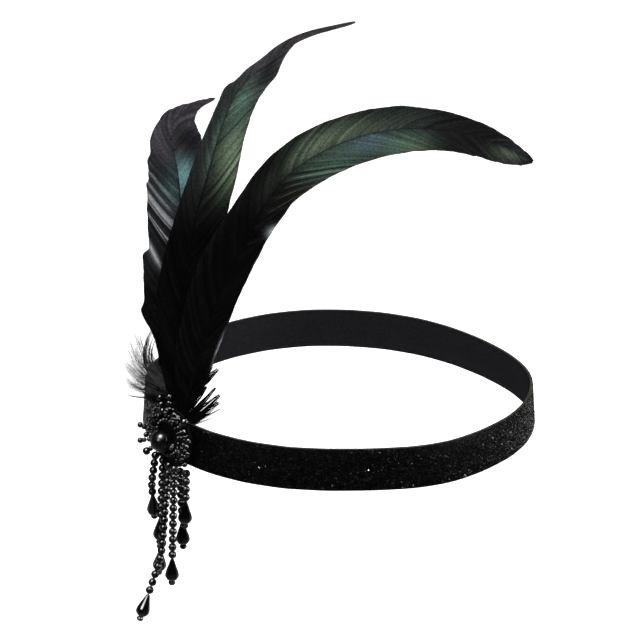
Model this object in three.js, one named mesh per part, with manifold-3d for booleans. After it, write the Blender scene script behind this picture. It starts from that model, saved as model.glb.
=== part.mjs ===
// Flapper headband: a ribbon loop with a beaded brooch over the left temple, three swept
// cock feathers behind the brooch and a tassel of bead strands below it.
// Millimetres, +Z up. The wearer faces -X. The origin is the middle of the head loop.

import * as THREE from "three";
import { mergeVertices } from "three/addons/utils/BufferGeometryUtils.js";
import Module from "manifold-3d";

// Head loop: an oval, slightly fuller than an ellipse, that narrows towards its top edge.
// LOOP_BULGE: how far the hand-bent ribbon stands off that oval, at even steps round it.
const LOOP_HALF_LENGTH = 91;
const LOOP_HALF_WIDTH = 80;
const LOOP_POWER = 1.07;
const LOOP_TURN = THREE.MathUtils.degToRad(-14);
const LOOP_SLOPE = 0.077;
const LOOP_BULGE = [-1.5, 1, 0.1, 0.4, 0.5, 0.5, -3, -6, -2, 2.5, 3, 0.5, -1.5, 1, -1];
const LOOP_STEPS = 96;
const BAND_HEIGHT = 19.5;
const BAND_WALL = 1.2;

// Brooch stack, measured outwards from the face of the band
const GAP = 0.3;
const BROOCH_ANGLE = THREE.MathUtils.degToRad(231);
const BROOCH_HEIGHT = 2;
const QUILL_RADIUS = 1;
const QUILL_FOOT = -8;
const QUILL_HEAD = 13;
const QUILL_OUT = GAP + QUILL_RADIUS;
const PAD_RADIUS = 14;
const PAD_THICKNESS = 1.5;
const PAD_BACK = QUILL_OUT + QUILL_RADIUS + GAP;
const PAD_FACE = PAD_BACK + PAD_THICKNESS;
const PEARL_RADIUS = 5;
const PEARL_DROP = -1;
const ROSETTE_RING_RADIUS = 8;
const ROSETTE_RING_TUBE = 1.5;
const STALK_RADIUS = 1.1;
const STALK_STEPS = 3;
const PAD_SIDES = 36;
const PEARL_SIDES = 16;
const PEARL_RINGS = 10;
const RING_SIDES = 24;
const RING_TUBE_SIDES = 6;
const SMALL_BEAD_SIDES = 9;
const SMALL_BEAD_RINGS = 5;

// Tassel. BEAD_SHOULDER: place of a bead's in-between ring as a share of the pitch,
// CURL_START, CURL_END: where along a strand its lower end begins and stops bending outwards.
const BEAD_RADIUS = 1.92;
const BEAD_PITCH = 3.85;
const BEAD_NECK = 0.8;
const BEAD_SHOULDER = 0.27;
const BEAD_SIDES = 10;
const CURL_START = 0.58;
const CURL_END = 0.85;
const DROP_SIDES = 10;

// Outline of a teardrop with its small end bead, from the top down
const DROP_OUTLINE = [
  { radius: 0, height: 0 },
  { radius: 0.85, height: 0 },
  { radius: 1.45, height: -2 },
  { radius: 2.4, height: -4.8 },
  { radius: 3.05, height: -7 },
  { radius: 3.15, height: -8.2 },
  { radius: 2.5, height: -9.7 },
  { radius: 0.9, height: -10.6 },
  { radius: 1.6, height: -11.3 },
  { radius: 1.6, height: -12.2 },
  { radius: 0, height: -13 },
];

// Feather blades
const BLADE_STATIONS = 36;
const BLADE_MID = 0.5;
const BLADE_EDGE = 0.35;
const BLADE_CAMBER = 0.006;
const BLADE_TIP_SHAFT = 0.45;
const BASE_FACE_ANGLE = THREE.MathUtils.degToRad(-110);
const TIP_FACE_ANGLE = THREE.MathUtils.degToRad(-90);
const FACE_TURN_SHARE = 0.3;
const BLADE_LEAST = 0.5;
const SPLIT_RUN = 0.6;
const SHAFT_SAMPLES = 200;

// Loose locks at the foot of a feather. LOCK_ELBOW: where a lock bends, as shares of its reach
// and lift, LOCK_SECTIONS: share of its full width at places along it.
const LOCK_THICKNESS = 0.8;
const LOCK_ELBOW = { reach: 0.6, lift: 0.25 };
const LOCK_SECTIONS = [
  { along: 0, share: 0.5 },
  { along: 0.3, share: 1 },
  { along: 0.65, share: 0.8 },
  { along: 1, share: 0.2 },
];

// Beaded stalks of the rosette. angle: degrees from the right-hand side, counterclockwise,
// reach: radius of the last bead, lift: its height over the band, bead: diameter of its beads,
// count: beads at the end of the stalk.
const STALKS = [
  { angle: 0, reach: 10, lift: 11.5, bead: 2.2, count: 2 },
  { angle: 4, reach: 14.8, lift: 6.8, bead: 2.6, count: 2 },
  { angle: 14, reach: 15.6, lift: 6.2, bead: 2.8, count: 1 },
  { angle: -9, reach: 15.3, lift: 6.2, bead: 2.6, count: 1 },
  { angle: -31, reach: 15.7, lift: 6.2, bead: 2.6, count: 2 },
  { angle: 31, reach: 14.5, lift: 7, bead: 2.1, count: 3 },
  { angle: 45, reach: 16, lift: 6, bead: 4.2, count: 1 },
  { angle: 58, reach: 13.5, lift: 6.5, bead: 2.6, count: 1 },
  { angle: 71, reach: 13.4, lift: 6.5, bead: 2.6, count: 1 },
  { angle: 91, reach: 19.5, lift: 6, bead: 3, count: 3 },
  { angle: 108, reach: 18.3, lift: 7, bead: 3, count: 3 },
  { angle: 139, reach: 11.4, lift: 8, bead: 2.8, count: 1 },
  { angle: 158, reach: 12.5, lift: 8, bead: 2.6, count: 1 },
  { angle: 175, reach: 15.6, lift: 9.5, bead: 2.7, count: 1 },
  { angle: 190, reach: 11.8, lift: 9, bead: 2.6, count: 1 },
  { angle: 201, reach: 14.7, lift: 10.5, bead: 2.7, count: 1 },
  { angle: 223, reach: 13.7, lift: 9.5, bead: 3.6, count: 1 },
];

// Tassel strands. across, up, out: centre of the top bead from the middle of the brooch,
// outward, sideways: lean of the strand in degrees, curl: extra outward lean at its lower end.
const ON_FACE = PAD_FACE + GAP + BEAD_RADIUS;
const MIDDLE = ON_FACE + 0.6;
const FRONT = ON_FACE + 2.4;
const UNDER_RIM = (PAD_BACK + PAD_FACE) / 2;
const RIM_TUCK = 0.2;
const BEHIND_RIM = PAD_BACK - RIM_TUCK;
const STRANDS = [
  { across: -7.5, up: -11.3, out: ON_FACE, beads: 6, outward: 3, sideways: -8, curl: -13 },
  { across: 11.5, up: -13.8, out: UNDER_RIM, beads: 4, outward: 2.3, sideways: 0, curl: 0 },
  { across: 5.9, up: -15.1, out: BEHIND_RIM, beads: 7, outward: -1, sideways: 1.5, curl: 0 },
  { across: 9.3, up: -11.2, out: FRONT, beads: 12, outward: 1.5, sideways: -0.5, curl: 0 },
  { across: 3, up: -12.1, out: MIDDLE, beads: 17, outward: 4, sideways: -2.4, curl: 18 },
  { across: -1.9, up: -11.6, out: ON_FACE, beads: 8, outward: 1.5, sideways: -2.5, curl: 0 },
  { across: -3.8, up: -16, out: BEHIND_RIM, beads: 12, outward: 0, sideways: -7, curl: 0 },
];

// Feathers above the quill, from the brooch to the tip. x, y, z: the shaft,
// left, right: half widths of the vane, seen from outside.
// splits: where the vane parts. row: place in the list, side: -1 left, 1 right, depth in mm.
// locks: loose barbs at the foot. from: height on the shaft, reach: sideways, lift: upwards.
const FEATHERS = [
  {
    name: "feather_left",
    across: -4.6,
    rows: [
      { x: -73.8, y: -45.2, z: 24, left: 4.4, right: 4.5 },
      { x: -73, y: -45, z: 44.5, left: 7.6, right: 8.5 },
      { x: -71.5, y: -44.4, z: 62.5, left: 15.2, right: 10.5 },
      { x: -70, y: -43.6, z: 82.5, left: 15, right: 11 },
      { x: -69, y: -42.5, z: 104, left: 15, right: 11 },
      { x: -70.3, y: -40.8, z: 124, left: 13.6, right: 11.6 },
      { x: -72.7, y: -39.2, z: 137, left: 10.2, right: 12.8 },
      { x: -71.3, y: -38.2, z: 147.6, left: 5.8, right: 12 },
      { x: -64.5, y: -37.2, z: 153.6, left: 1.6, right: 3.6 },
      { x: -53.5, y: -36, z: 157, left: 0.6, right: 0.6 },
    ],
    splits: [
      { row: 3.9, side: -1, depth: 2.2 },
      { row: 5.2, side: -1, depth: 1.6 },
    ],
    locks: [
      { from: 19, reach: -19, lift: 6, width: 3 },
      { from: 22, reach: -23, lift: 13, width: 3.4 },
      { from: 27, reach: -21, lift: 19, width: 3.4 },
      { from: 35, reach: -15, lift: 20, width: 2.6 },
      { from: 48, reach: -20, lift: 22, width: 2.6 },
    ],
  },
  {
    name: "feather_middle",
    across: 0,
    rows: [
      { x: -70.6, y: -48.8, z: 26, left: 6.5, right: 6 },
      { x: -69.6, y: -49, z: 44.5, left: 9, right: 9.5 },
      { x: -67.4, y: -48.8, z: 72.5, left: 12, right: 12.4 },
      { x: -63, y: -47.8, z: 102.5, left: 9.1, right: 13.2 },
      { x: -57.6, y: -46.6, z: 123.5, left: 7.9, right: 12.5 },
      { x: -50.4, y: -45.2, z: 148.5, left: 5.8, right: 10.7 },
      { x: -44, y: -44.2, z: 163, left: 4.9, right: 9.8 },
      { x: -34, y: -43.2, z: 173.5, left: 3.4, right: 7.6 },
      { x: -20, y: -42.2, z: 185.5, left: 1.7, right: 1.6 },
      { x: 6.5, y: -41, z: 193.7, left: 0.8, right: 0.6 },
    ],
    splits: [{ row: 8.1, side: -1, depth: 1.2 }],
    locks: [],
  },
  {
    name: "feather_right",
    across: 4.6,
    rows: [
      { x: -65, y: -53, z: 28.5, left: 7.5, right: 6 },
      { x: -59.6, y: -54.2, z: 47.5, left: 12, right: 7 },
      { x: -48.5, y: -54.8, z: 80.5, left: 14.2, right: 8.2 },
      { x: -34, y: -54, z: 111, left: 11.8, right: 8.8 },
      { x: -23.5, y: -52.5, z: 126.6, left: 11.3, right: 11 },
      { x: -10, y: -50.5, z: 136.6, left: 11.6, right: 12.2 },
      { x: 6, y: -48, z: 143.4, left: 11.2, right: 12.2 },
      { x: 24, y: -44.5, z: 146.4, left: 10.5, right: 11.6 },
      { x: 42, y: -41, z: 145.4, left: 8.8, right: 10.2 },
      { x: 58, y: -37, z: 141.2, left: 6.6, right: 9.3 },
      { x: 72, y: -34, z: 134.8, left: 4.5, right: 8.2 },
      { x: 84.6, y: -31, z: 127.2, left: 1, right: 2.6 },
    ],
    splits: [{ row: 5.3, side: 1, depth: 0.5 }],
    locks: [
      { from: 13.5, reach: 15, lift: 12, width: 2.4 },
      { from: 16, reach: 15, lift: 20, width: 2.4 },
      { from: 22, reach: 15, lift: 17, width: 2.4 },
    ],
  },
];

const wasm = await Module();
wasm.setup();

// A closed mesh as a solid that can be joined
function solidOf(geometry) {
  const bare = new THREE.BufferGeometry().setAttribute("position", geometry.getAttribute("position"));
  if (geometry.index) bare.setIndex(geometry.index);
  const merged = mergeVertices(bare, 1e-3);
  const mesh = new wasm.Mesh({
    numProp: 3,
    vertProperties: merged.getAttribute("position").array,
    triVerts: new Uint32Array(merged.index.array),
  });
  return new wasm.Manifold(mesh);
}

// Several overlapping closed meshes joined into one
function fuse(geometries) {
  const joined = geometries.map(solidOf).reduce((whole, piece) => whole.add(piece));
  const mesh = joined.getMesh();
  const geometry = new THREE.BufferGeometry();
  geometry.setAttribute("position", new THREE.BufferAttribute(mesh.vertProperties, 3));
  geometry.setIndex(new THREE.BufferAttribute(mesh.triVerts, 1));
  geometry.computeVertexNormals();
  return geometry;
}

// A skin over rings of points, closed by flat ends or, for a loop, by meeting itself
function skin(rings, isLoop = false) {
  const sides = rings[0].length;
  const indices = [];
  const spans = isLoop ? rings.length : rings.length - 1;
  for (let i = 0; i < spans; i++) {
    const near = i * sides;
    const far = ((i + 1) % rings.length) * sides;
    for (let j = 0; j < sides; j++) {
      const k = (j + 1) % sides;
      indices.push(near + j, near + k, far + k, near + j, far + k, far + j);
    }
  }
  if (!isLoop) {
    const last = (rings.length - 1) * sides;
    for (let j = 1; j < sides - 1; j++) {
      indices.push(0, j + 1, j, last, last + j, last + j + 1);
    }
  }
  const geometry = new THREE.BufferGeometry().setFromPoints(rings.flat());
  geometry.setIndex(indices);
  geometry.computeVertexNormals();
  return geometry;
}

// Smooth closed curve of numbers through evenly spaced values, turn from 0 to 1
function aroundLoop(values, turn) {
  const place = (turn - Math.floor(turn)) * values.length;
  const index = Math.floor(place);
  const [before, start, end, after] = [-1, 0, 1, 2].map(
    (step) => values[(index + step + values.length) % values.length],
  );
  const t = place - index;
  const slopeIn = (end - before) / 2;
  const slopeOut = (after - start) / 2;
  const bend = start - end;
  const cubic = 2 * bend + slopeIn + slopeOut;
  const square = -3 * bend - 2 * slopeIn - slopeOut;
  return ((cubic * t + square) * t + slopeIn) * t + start;
}

// A point on the head loop: offset is measured outwards from the face of the band
function loopPoint(angle, height, offset) {
  const power = (value) => Math.sign(value) * Math.abs(value) ** LOOP_POWER;
  const reach = aroundLoop(LOOP_BULGE, angle / (2 * Math.PI)) + offset - LOOP_SLOPE * height;
  const oval = (turn) =>
    new THREE.Vector3(
      LOOP_HALF_LENGTH * power(Math.cos(turn)),
      LOOP_HALF_WIDTH * power(Math.sin(turn)),
      0,
    );
  const step = 0.001;
  const along = oval(angle + step).sub(oval(angle - step)).normalize();
  const point = oval(angle).add(new THREE.Vector3(along.y, -along.x, 0).multiplyScalar(reach));
  return point.setZ(height).applyAxisAngle(new THREE.Vector3(0, 0, 1), LOOP_TURN);
}

// The brooch's own axes: x across the band, y up its face, z straight out of it
function broochFrame() {
  const step = 0.05;
  const at = (turn, rise) => loopPoint(BROOCH_ANGLE + turn, BROOCH_HEIGHT + rise, 0);
  const across = at(step, 0).sub(at(-step, 0)).normalize();
  const slope = at(0, 1).sub(at(0, -1));
  const out = across.clone().cross(slope).normalize();
  const up = out.clone().cross(across);
  return new THREE.Matrix4().makeBasis(across, up, out).setPosition(at(0, 0));
}

const BROOCH = broochFrame();
const broochPoint = (across, up, out) => new THREE.Vector3(across, up, out).applyMatrix4(BROOCH);
const broochAxis = (index) => new THREE.Vector3().setFromMatrixColumn(BROOCH, index);

function bandGeometry() {
  const half = BAND_HEIGHT / 2;
  const rings = [];
  for (let i = 0; i < LOOP_STEPS; i++) {
    const angle = (2 * Math.PI * i) / LOOP_STEPS;
    rings.push([
      loopPoint(angle, -half, 0),
      loopPoint(angle, -half, -BAND_WALL),
      loopPoint(angle, half, -BAND_WALL),
      loopPoint(angle, half, 0),
    ]);
  }
  return skin(rings, true);
}

// Blade of a feather: a cambered vane on both sides of its shaft, which ends in a round quill
function bladeGeometry({ across, rows, splits }) {
  const quillRows = [QUILL_FOOT, QUILL_HEAD].map((up) => {
    const { x, y, z } = broochPoint(across, up, QUILL_OUT);
    return { x, y, z, left: QUILL_RADIUS, right: QUILL_RADIUS };
  });
  const all = [...quillRows, ...rows];
  const shaftPoints = all.map(({ x, y, z }) => new THREE.Vector3(x, y, z));
  const widthPoints = all.map(({ left, right }) => new THREE.Vector3(left, right, 0));
  const shaft = new THREE.CatmullRomCurve3(shaftPoints);
  const widths = new THREE.CatmullRomCurve3(widthPoints);
  const rings = [];
  for (let i = 0; i <= BLADE_STATIONS; i++) {
    const along = i / BLADE_STATIONS;
    const centre = shaft.getPoint(along);
    const tangent = shaft.getTangent(along);
    const turned = Math.min(1, along / FACE_TURN_SHARE);
    const turn = THREE.MathUtils.lerp(BASE_FACE_ANGLE, TIP_FACE_ANGLE, turned);
    const face = new THREE.Vector3(Math.cos(turn), Math.sin(turn), 0);
    const side = tangent.clone().cross(face).normalize();
    face.crossVectors(side, tangent).normalize();
    const width = widths.getPoint(along);
    const reach = { left: width.x, right: width.y };
    for (const split of splits) {
      const distance = (along * (all.length - 1) - split.row) / SPLIT_RUN;
      if (Math.abs(distance) > 1) continue;
      const saw = -Math.sign(distance) * (1 - Math.abs(distance)) * split.depth;
      reach[split.side < 0 ? "left" : "right"] += saw;
    }
    const left = Math.max(reach.left, BLADE_LEAST);
    const right = Math.max(reach.right, BLADE_LEAST);
    const shaftHalf = THREE.MathUtils.lerp(QUILL_RADIUS, BLADE_TIP_SHAFT, along);
    const sag = (offset) => -BLADE_CAMBER * offset * offset;
    const section = [
      [-left, -BLADE_EDGE],
      [-left, BLADE_EDGE],
      [-left / 2, BLADE_MID],
      [0, shaftHalf],
      [right / 2, BLADE_MID],
      [right, BLADE_EDGE],
      [right, -BLADE_EDGE],
      [right / 2, -BLADE_MID],
      [0, -shaftHalf],
      [-left / 2, -BLADE_MID],
    ];
    rings.push(
      section.map(([offset, depth]) =>
        centre.clone().addScaledVector(side, offset).addScaledVector(face, depth + sag(offset)),
      ),
    );
  }
  return { geometry: skin(rings), shaft };
}

// A loose lock of barbs that leaves the shaft and curls upwards to a thin tip
function lockGeometry(shaft, { from, reach, lift, width }) {
  const start = shaft.getPoints(SHAFT_SAMPLES).reduce((best, point) =>
    Math.abs(point.z - from) < Math.abs(best.z - from) ? point : best,
  );
  const bend = new THREE.Vector3(LOCK_ELBOW.reach * reach, 0, LOCK_ELBOW.lift * lift);
  const elbow = start.clone().add(bend);
  const tip = start.clone().add(new THREE.Vector3(reach, 0, lift));
  const curve = new THREE.QuadraticBezierCurve3(start, elbow, tip);
  const depth = new THREE.Vector3(0, LOCK_THICKNESS / 2, 0);
  const rings = [];
  for (const { along, share } of LOCK_SECTIONS) {
    const centre = curve.getPoint(along);
    const side = curve.getTangent(along).cross(new THREE.Vector3(0, -1, 0)).normalize();
    side.multiplyScalar((share * width) / 2);
    rings.push([
      centre.clone().sub(side),
      centre.clone().sub(depth),
      centre.clone().add(side),
      centre.clone().add(depth),
    ]);
  }
  return skin(rings);
}

function featherGeometry(feather) {
  const { geometry, shaft } = bladeGeometry(feather);
  const locks = feather.locks.map((lock) => lockGeometry(shaft, lock));
  return locks.length ? fuse([geometry, ...locks]) : geometry;
}

// The thin round bar of a stalk along a curve
function stalkGeometry(curve) {
  const outline = new THREE.Shape();
  outline.absarc(0, 0, STALK_RADIUS, 0, 2 * Math.PI);
  const options = { extrudePath: curve, steps: STALK_STEPS, curveSegments: STALK_STEPS };
  return new THREE.ExtrudeGeometry(outline, options);
}

// Ring round the pearl with beaded stalks, in the brooch's own axes
function rosetteGeometry() {
  const ringHeight = PAD_FACE + GAP + ROSETTE_RING_TUBE;
  const ring = new THREE.TorusGeometry(
    ROSETTE_RING_RADIUS,
    ROSETTE_RING_TUBE,
    RING_TUBE_SIDES,
    RING_SIDES,
  );
  const pieces = [ring.translate(0, 0, ringHeight)];
  for (const { angle, reach, lift, bead, count } of STALKS) {
    const turn = THREE.MathUtils.degToRad(angle);
    const at = (radius, height) =>
      new THREE.Vector3(radius * Math.cos(turn), radius * Math.sin(turn), height);
    const curve = new THREE.QuadraticBezierCurve3(
      at(ROSETTE_RING_RADIUS, ringHeight),
      at((ROSETTE_RING_RADIUS + reach) / 2, lift),
      at(reach, lift),
    );
    pieces.push(stalkGeometry(curve));
    for (let i = 0; i < count; i++) {
      const centre = curve.getPointAt(1 - (i * bead) / curve.getLength());
      const ball = new THREE.SphereGeometry(bead / 2, SMALL_BEAD_SIDES, SMALL_BEAD_RINGS);
      pieces.push(ball.translate(centre.x, centre.y, centre.z));
    }
  }
  return fuse(pieces);
}

// Bead centres of a strand from the top down, and the direction in which it ends
function strandPath({ across, up, out, beads, outward, sideways, curl }) {
  const down = new THREE.Vector3(0, 0, -1);
  const outwards = broochAxis(2).setZ(0).normalize();
  const rightwards = broochAxis(0);
  const centres = [broochPoint(across, up, out)];
  const end = new THREE.Vector3();
  for (let i = 1; i <= beads; i++) {
    const bent = curl * THREE.MathUtils.smoothstep(i / beads, CURL_START, CURL_END);
    const lean = THREE.MathUtils.degToRad(outward + bent);
    const drift = THREE.MathUtils.degToRad(sideways);
    end.copy(down).addScaledVector(outwards, Math.tan(lean));
    end.addScaledVector(rightwards, Math.tan(drift)).normalize();
    if (i < beads) centres.push(centres[i - 1].clone().addScaledVector(end, BEAD_PITCH));
  }
  return { centres, end };
}

// A string of round beads as one body: rings swell at each bead and pinch between beads
function strandGeometry({ centres, end }) {
  const shoulder = Math.sqrt(BEAD_RADIUS ** 2 - (BEAD_SHOULDER * BEAD_PITCH) ** 2);
  const profile = [
    { along: -0.5, radius: BEAD_NECK },
    { along: -BEAD_SHOULDER, radius: shoulder },
    { along: 0, radius: BEAD_RADIUS },
    { along: BEAD_SHOULDER, radius: shoulder },
  ];
  const rings = [];
  const ringAt = (centre, direction, along, radius) => {
    const side = new THREE.Vector3().crossVectors(direction, new THREE.Vector3(0, 1, 0)).normalize();
    const front = new THREE.Vector3().crossVectors(direction, side);
    const middle = centre.clone().addScaledVector(direction, along * BEAD_PITCH);
    const ring = [];
    for (let j = 0; j < BEAD_SIDES; j++) {
      const turn = (2 * Math.PI * j) / BEAD_SIDES;
      const point = middle.clone().addScaledVector(side, radius * Math.cos(turn));
      ring.push(point.addScaledVector(front, radius * Math.sin(turn)));
    }
    rings.push(ring);
  };
  centres.forEach((centre, i) => {
    const next = centres[i + 1];
    const direction = next ? next.clone().sub(centre).normalize() : end;
    for (const { along, radius } of profile) ringAt(centre, direction, along, radius);
  });
  ringAt(centres.at(-1), end, 0.5, BEAD_NECK);
  return skin(rings);
}

// Faceted teardrop that points up, with a small bead under it. Its top is at the origin.
function dropGeometry() {
  const outline = DROP_OUTLINE.map(({ radius, height }) => new THREE.Vector2(radius, height));
  return new THREE.LatheGeometry(outline.reverse(), DROP_SIDES);
}

const FINISH = {
  ribbon: { color: 0x141416, roughness: 0.8, metalness: 0 },
  felt: { color: 0x121212, roughness: 0.95, metalness: 0 },
  glass: { color: 0x0b0b0d, roughness: 0.12, metalness: 0 },
  feather: { color: 0x16211f, roughness: 0.5, metalness: 0 },
};

function piece(name, geometry, finish) {
  const mesh = new THREE.Mesh(geometry, new THREE.MeshStandardMaterial(FINISH[finish]));
  mesh.name = name;
  return mesh;
}

const headband = new THREE.Group();
headband.add(piece("band", bandGeometry(), "ribbon"));
for (const feather of FEATHERS) {
  headband.add(piece(feather.name, featherGeometry(feather), "feather"));
}

const brooch = new THREE.Group();
BROOCH.decompose(brooch.position, brooch.quaternion, brooch.scale);
headband.add(brooch);

const disc = new THREE.CylinderGeometry(PAD_RADIUS, PAD_RADIUS, PAD_THICKNESS, PAD_SIDES);
const pad = piece("rosette_pad", disc, "felt");
pad.rotation.x = Math.PI / 2;
pad.position.z = PAD_BACK + PAD_THICKNESS / 2;
brooch.add(pad);

brooch.add(piece("bead_rosette", rosetteGeometry(), "glass"));

const ball = new THREE.SphereGeometry(PEARL_RADIUS, PEARL_SIDES, PEARL_RINGS);
const pearl = piece("pearl", ball, "glass");
pearl.position.set(0, PEARL_DROP, PAD_FACE + GAP + PEARL_RADIUS);
brooch.add(pearl);

STRANDS.forEach((strand, index) => {
  const path = strandPath(strand);
  headband.add(piece(`tassel_strand_${index + 1}`, strandGeometry(path), "glass"));
  const drop = piece(`drop_${index + 1}`, dropGeometry(), "glass");
  drop.position.copy(path.centres.at(-1)).addScaledVector(path.end, BEAD_PITCH / 2 + GAP);
  drop.quaternion.setFromUnitVectors(new THREE.Vector3(0, -1, 0), path.end);
  headband.add(drop);
});

export default headband;
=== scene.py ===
# Looks of the flapper headband: glitter ribbon, beaded brooch, cock feathers and tassel.
# Lengths are in millimetres until a mesh is made, in the same frame as the solids.
# Lamps and camera are in metres.

import math

import bpy
import numpy as np
from mathutils import Matrix, Vector


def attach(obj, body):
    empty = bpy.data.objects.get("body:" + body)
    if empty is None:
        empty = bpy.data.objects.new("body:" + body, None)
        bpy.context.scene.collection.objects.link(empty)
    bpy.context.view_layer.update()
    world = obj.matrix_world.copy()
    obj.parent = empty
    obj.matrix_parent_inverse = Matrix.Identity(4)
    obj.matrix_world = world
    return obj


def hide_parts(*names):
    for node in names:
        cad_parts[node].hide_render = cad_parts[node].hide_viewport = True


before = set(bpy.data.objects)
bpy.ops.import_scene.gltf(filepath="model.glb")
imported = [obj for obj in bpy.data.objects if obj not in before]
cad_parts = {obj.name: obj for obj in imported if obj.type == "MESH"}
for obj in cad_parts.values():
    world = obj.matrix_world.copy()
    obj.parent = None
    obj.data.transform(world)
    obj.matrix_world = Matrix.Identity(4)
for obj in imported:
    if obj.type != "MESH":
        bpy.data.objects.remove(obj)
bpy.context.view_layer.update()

MM = 0.001
BLACK = (0, 0, 0, 1)
SEEDS = {"glitter": 5, "frays": 8, "pad": 21, "rosette": 31, "feathers": 40, "strands": 100}

# Head loop, as in the solids
LOOP_HALF_LENGTH = 91
LOOP_HALF_WIDTH = 80
LOOP_POWER = 1.07
LOOP_TURN = math.radians(-14)
LOOP_SLOPE = 0.077
LOOP_BULGE = [-1.5, 1, 0.1, 0.4, 0.5, 0.5, -3, -6, -2, 2.5, 3, 0.5, -1.5, 1, -1]
LOOP_STEPS = 480
BAND_HEIGHT = 19.5
BAND_LENGTH = 529
BAND_WALL = 1.2

# Ribbon: its edges, flakes, frays and weave
EDGE_SOFT = 0.16
# Columns of waves in a cut edge: height, number round the edge, start
EDGE_WAVES = [(0.05, 11, 0), (0.03, 29, 1)]
GLITTER_COUNT = 34000
GLITTER_MARGIN = 0.3
FLAKE_SIDES = 5
FLAKE_SIZE = (0.13, 0.3)
FLAKE_STAND = (0.04, 0.14)
FLAKE_TILT = 0.33
FLAKE_SHADES = [0.0001, 0.0003, 0.002, 0.05]
FLAKE_SHARES = [0.6, 0.25, 0.13, 0.02]
FLAKE_GREEN = (0.92, 1.0)
FLAKE_BLUE = (0.9, 1.08)
FRAY_COUNT = 420
FRAY_LENGTH = (0.4, 1.3)
FRAY_LOWER_SHARE = 0.65
FRAY_INSET = 0.2
FRAY_ROOT = (-1.0, -0.1)
FRAY_TIP = (-1.3, 0.4)
FRAY_SWING = 0.006
FRAY_BEND = 0.15
FRAY_RADIUS = 0.05
FRAY_TINT = (0.02, 0.019, 0.018, 1)
WEAVE_PITCH = 0.55

# Brooch, as in the solids
GAP = 0.3
BROOCH_ANGLE = math.radians(231)
BROOCH_HEIGHT = 2
QUILL_RADIUS = 1
QUILL_FOOT = -8
QUILL_HEAD = 13
QUILL_OUT = GAP + QUILL_RADIUS
PAD_RADIUS = 14
PAD_THICKNESS = 1.5
PAD_BACK = QUILL_OUT + QUILL_RADIUS + GAP
PAD_FACE = PAD_BACK + PAD_THICKNESS
PEARL_RADIUS = 5
PEARL_DROP = -1
RING_RADIUS = 8
RING_TUBE = 1.5
RING_OUT = PAD_FACE + GAP + RING_TUBE

# Felt edge, seed beads and threads of the brooch
PAD_EDGE = 0.5
PAD_SIDES = 96
PAD_WAVES = [(0.008, 7, 1), (0.006, 17, 0)]
PAD_FIBRES = 500
PAD_FIBRE_RADIUS = 0.04
PAD_FIBRE_ROOT = (-0.4, 0.1)
PAD_FIBRE_LENGTH = (0.2, 0.9)
PAD_FIBRE_SWING = 0.04
PAD_FIBRE_LIFT = 0.3
SEED_RADIUS = 1.22
SEED_PITCH = 2 * SEED_RADIUS * 0.97
SEED_START = 2.2
SEED_HALF_LENGTH = SEED_RADIUS * 0.86
THREAD_RADIUS = 0.25
PEARL_THREAD_RADIUS = 0.3
# Columns of bead forms: sides, steps of the outline, hole and flatness beside a radius of 1
SEED_FORM = (16, 9, 0.28, 0.85)
TIP_FORM = (22, 13, 0.2, 0.97)
PEARL_FORM = (64, 33, 0.1, 1.0)
STRAND_FORM = (24, 13, 0.19, 0.98)
# Columns of rings: radius, distance out, number of beads, their radius, unevenness
RINGS = [(RING_RADIUS, RING_OUT, 22, 1.18, 0.0), (11.2, PAD_FACE + 1.05, 21, 1.05, 0.04)]
RING_BEAD_TILT = 0.15
STALK_STEPS = 60
BEAD_LOOP_ANGLES = [-48, -20, 22, 65, 80, 124, 148, 240]
BEAD_LOOP_REACH = 12.0
BEAD_LOOP_RADIUS = 1.9
BEAD_LOOP_OUT = PAD_FACE + 0.4 + 2.3
BEAD_LOOP_BEADS = 8
BEAD_LOOP_BEAD = 0.86
BEAD_LOOP_CLEARANCE = 0.9
BEAD_LOOP_STEPS = 41
BEAD_LOOP_SHIFT = (-0.5, 0.7)
BEAD_LOOP_TILT = 0.25

# Tassel, as in the solids
BEAD_RADIUS = 1.92
BEAD_PITCH = 3.85
CURL_START = 0.58
CURL_END = 0.85
ON_FACE = PAD_FACE + GAP + BEAD_RADIUS
MIDDLE = ON_FACE + 0.6
FRONT = ON_FACE + 2.4
UNDER_RIM = (PAD_BACK + PAD_FACE) / 2
BEHIND_RIM = PAD_BACK - 0.2

# Depth of a thread's end in the felt, and unevenness of the strand beads
THREAD_SUNK = 0.4
BEAD_TILT = 0.05
BEAD_SIZE = (0.975, 1.0)

# Teardrop with its end bead. Columns of the profile: radius, distance below its top.
DROP_FACETS = 8
DROP_FLATNESS = 0.7
DROP_SIDES = 48
DROP_RINGS = 72
DROP_BORE = 0.25
DROP_PROFILE = [
    (0.35, 0.0),
    (0.8, 0.05),
    (1.0, 0.6),
    (1.45, 2.0),
    (1.93, 3.4),
    (2.4, 4.8),
    (2.8, 6.0),
    (3.05, 7.0),
    (3.17, 8.0),
    (3.0, 8.9),
    (2.5, 9.7),
    (1.6, 10.4),
    (0.7, 10.6),
    (0.7, 10.7),
    (1.3, 10.95),
    (1.65, 11.6),
    (1.6, 12.1),
    (1.05, 12.75),
    (0.3, 13.0),
]

# Feather blades, as in the solids
BLADE_CAMBER = 0.006
BASE_FACE_ANGLE = math.radians(-110)
TIP_FACE_ANGLE = math.radians(-90)
FACE_TURN_SHARE = 0.3

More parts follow.
